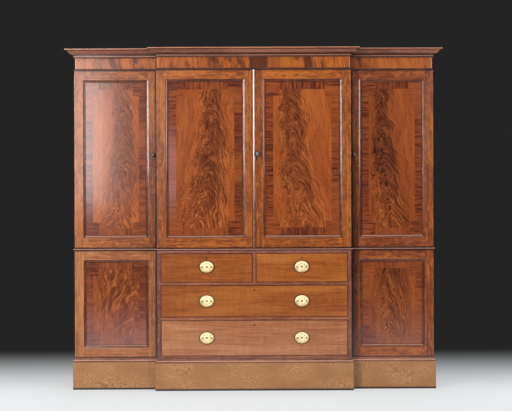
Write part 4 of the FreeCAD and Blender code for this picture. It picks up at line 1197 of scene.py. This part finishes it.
def make_hinge_barrels():
    """Round barrels over the knuckles of each hinge: the ends ride on the carcase, the middle on the door."""
    up = Vector((0, 0, 1))
    across = Vector((1, 0, 0))
    fixed = bmesh.new()
    leaves = [(low + high) / 2 for faces, low, high in solids_of(nodes["carcase_hinge_leaves"].data)]
    for joint in frame["record"]["behaviour"]["joints"]:
        door = joint["child"]
        if not door.endswith("_door"):
            continue
        axis = Vector(joint["pos_m"])
        low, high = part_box(door + "_frame")
        turning = bmesh.new()
        for leaf in leaves:
            if abs(leaf.x - axis.x) > hinge_most_width or not low.z < leaf.z < high.z:
                continue
            foot = Vector((axis.x, axis.y, leaf.z - hinge_length / 2))
            for index, mesh in enumerate((fixed, turning, fixed)):
                start = hinge_length / 3 * index + hinge_joint
                end = hinge_length / 3 * (index + 1) - hinge_joint
                barrel = [
                    (start, 0), (start, barrel_radius - hinge_joint), (start + hinge_joint, barrel_radius),
                    (end - hinge_joint, barrel_radius), (end, barrel_radius - hinge_joint), (end, 0),
                ]
                add_turned(mesh, foot, up, across, barrel)
        finished(turning, door + "_hinge_barrels", door, dark_brass)
    finished(fixed, "carcase_hinge_barrels", "carcase", dark_brass)


# Stage
def make_floor():
    """A pale floor that fades into a dark studio behind."""
    corners = [(x * floor_reach, y * floor_reach, 0) for x, y in ((-1, -1), (1, -1), (1, 1), (-1, 1))]
    mesh = bpy.data.meshes.new("floor")
    mesh.from_pydata(corners, [], [(0, 1, 2, 3)])
    floor = bpy.data.objects.new("floor", mesh)
    bpy.context.scene.collection.objects.link(floor)
    graph = Graph("pale_floor")
    graph.shader.inputs["Base Color"].default_value = floor_colour
    graph.shader.inputs["Roughness"].default_value = floor_roughness
    graph.shader.inputs["Specular IOR Level"].default_value = floor_specular
    y = graph.place()[1]
    beyond = graph.fade(y, floor_fade_start, floor_fade_end)
    before = graph.fade(y, floor_front_start, floor_front_end)
    paper = graph.take(0, "Emission", {"Color": floor_colour})
    dark = graph.take(0, "Emission", {"Color": studio_colour})
    pale = graph.between(graph.seen() * floor_glow, graph.surface, paper)
    both = graph.between(graph.math("MAXIMUM", beyond, before), pale, dark)
    graph.put(graph.output.inputs["Surface"], both)
    mesh.materials.append(graph.material)


def make_world():
    """A dark studio that the camera and the polish see, with a soft fill for the rest."""
    world = bpy.data.worlds.new("studio")
    bpy.context.scene.world = world
    world.use_nodes = True
    tree = Tree(world.node_tree)
    air = tree.take(0, "Background", {"Color": air_colour, "Strength": air_strength})
    dark = tree.take(0, "Background", {"Color": studio_colour})
    tree.node("OutputWorld", {"Surface": tree.between(tree.seen(), air, dark)})


def make_lights():
    """Soft boxes for the front, the sides and the back, one for the left wing and a strip for mouldings."""
    for name, place, aim, width, height, power, colour in lamps:
        light = bpy.data.lights.new(name, "AREA")
        light.shape = "RECTANGLE"
        light.size = width
        light.size_y = height
        light.energy = power
        light.color = colour
        lamp = bpy.data.objects.new(name, light)
        lamp.location = place
        lamp.rotation_euler = (Vector(aim) - Vector(place)).to_track_quat("-Z", "Y").to_euler()
        bpy.context.scene.collection.objects.link(lamp)


def make_camera():
    """The photograph's point of view, with its slight roll."""
    turn = math.radians(camera_turn_degrees)
    tilt = math.radians(camera_tilt_degrees)
    roll = math.radians(camera_roll_degrees)
    ahead = Vector((math.sin(turn) * math.cos(tilt), math.cos(turn) * math.cos(tilt), -math.sin(tilt)))
    level_right = Vector((math.cos(turn), -math.sin(turn), 0))
    level_up = level_right.cross(ahead)
    right = level_right * math.cos(roll) + level_up * math.sin(roll)
    up = level_up * math.cos(roll) - level_right * math.sin(roll)
    data = bpy.data.cameras.new("camera")
    data.sensor_width = sensor_width_mm
    data.lens = focal_px / photo_width_px * sensor_width_mm
    camera = bpy.data.objects.new("camera", data)
    camera.matrix_world = Matrix((
        (right.x, up.x, -ahead.x, camera_side),
        (right.y, up.y, -ahead.y, front_y - camera_distance),
        (right.z, up.z, -ahead.z, camera_height),
        (0, 0, 0, 1),
    ))
    bpy.context.scene.collection.objects.link(camera)
    bpy.context.scene.camera = camera


dress_wood()
dress_carcase()
dress_door_frames()
dress_cock_beads()
dress_brass()
make_handles()
make_bails()
make_hinge_barrels()
make_floor()
make_world()
make_lights()
make_camera()
bpy.context.scene.view_settings.view_transform = "Standard"
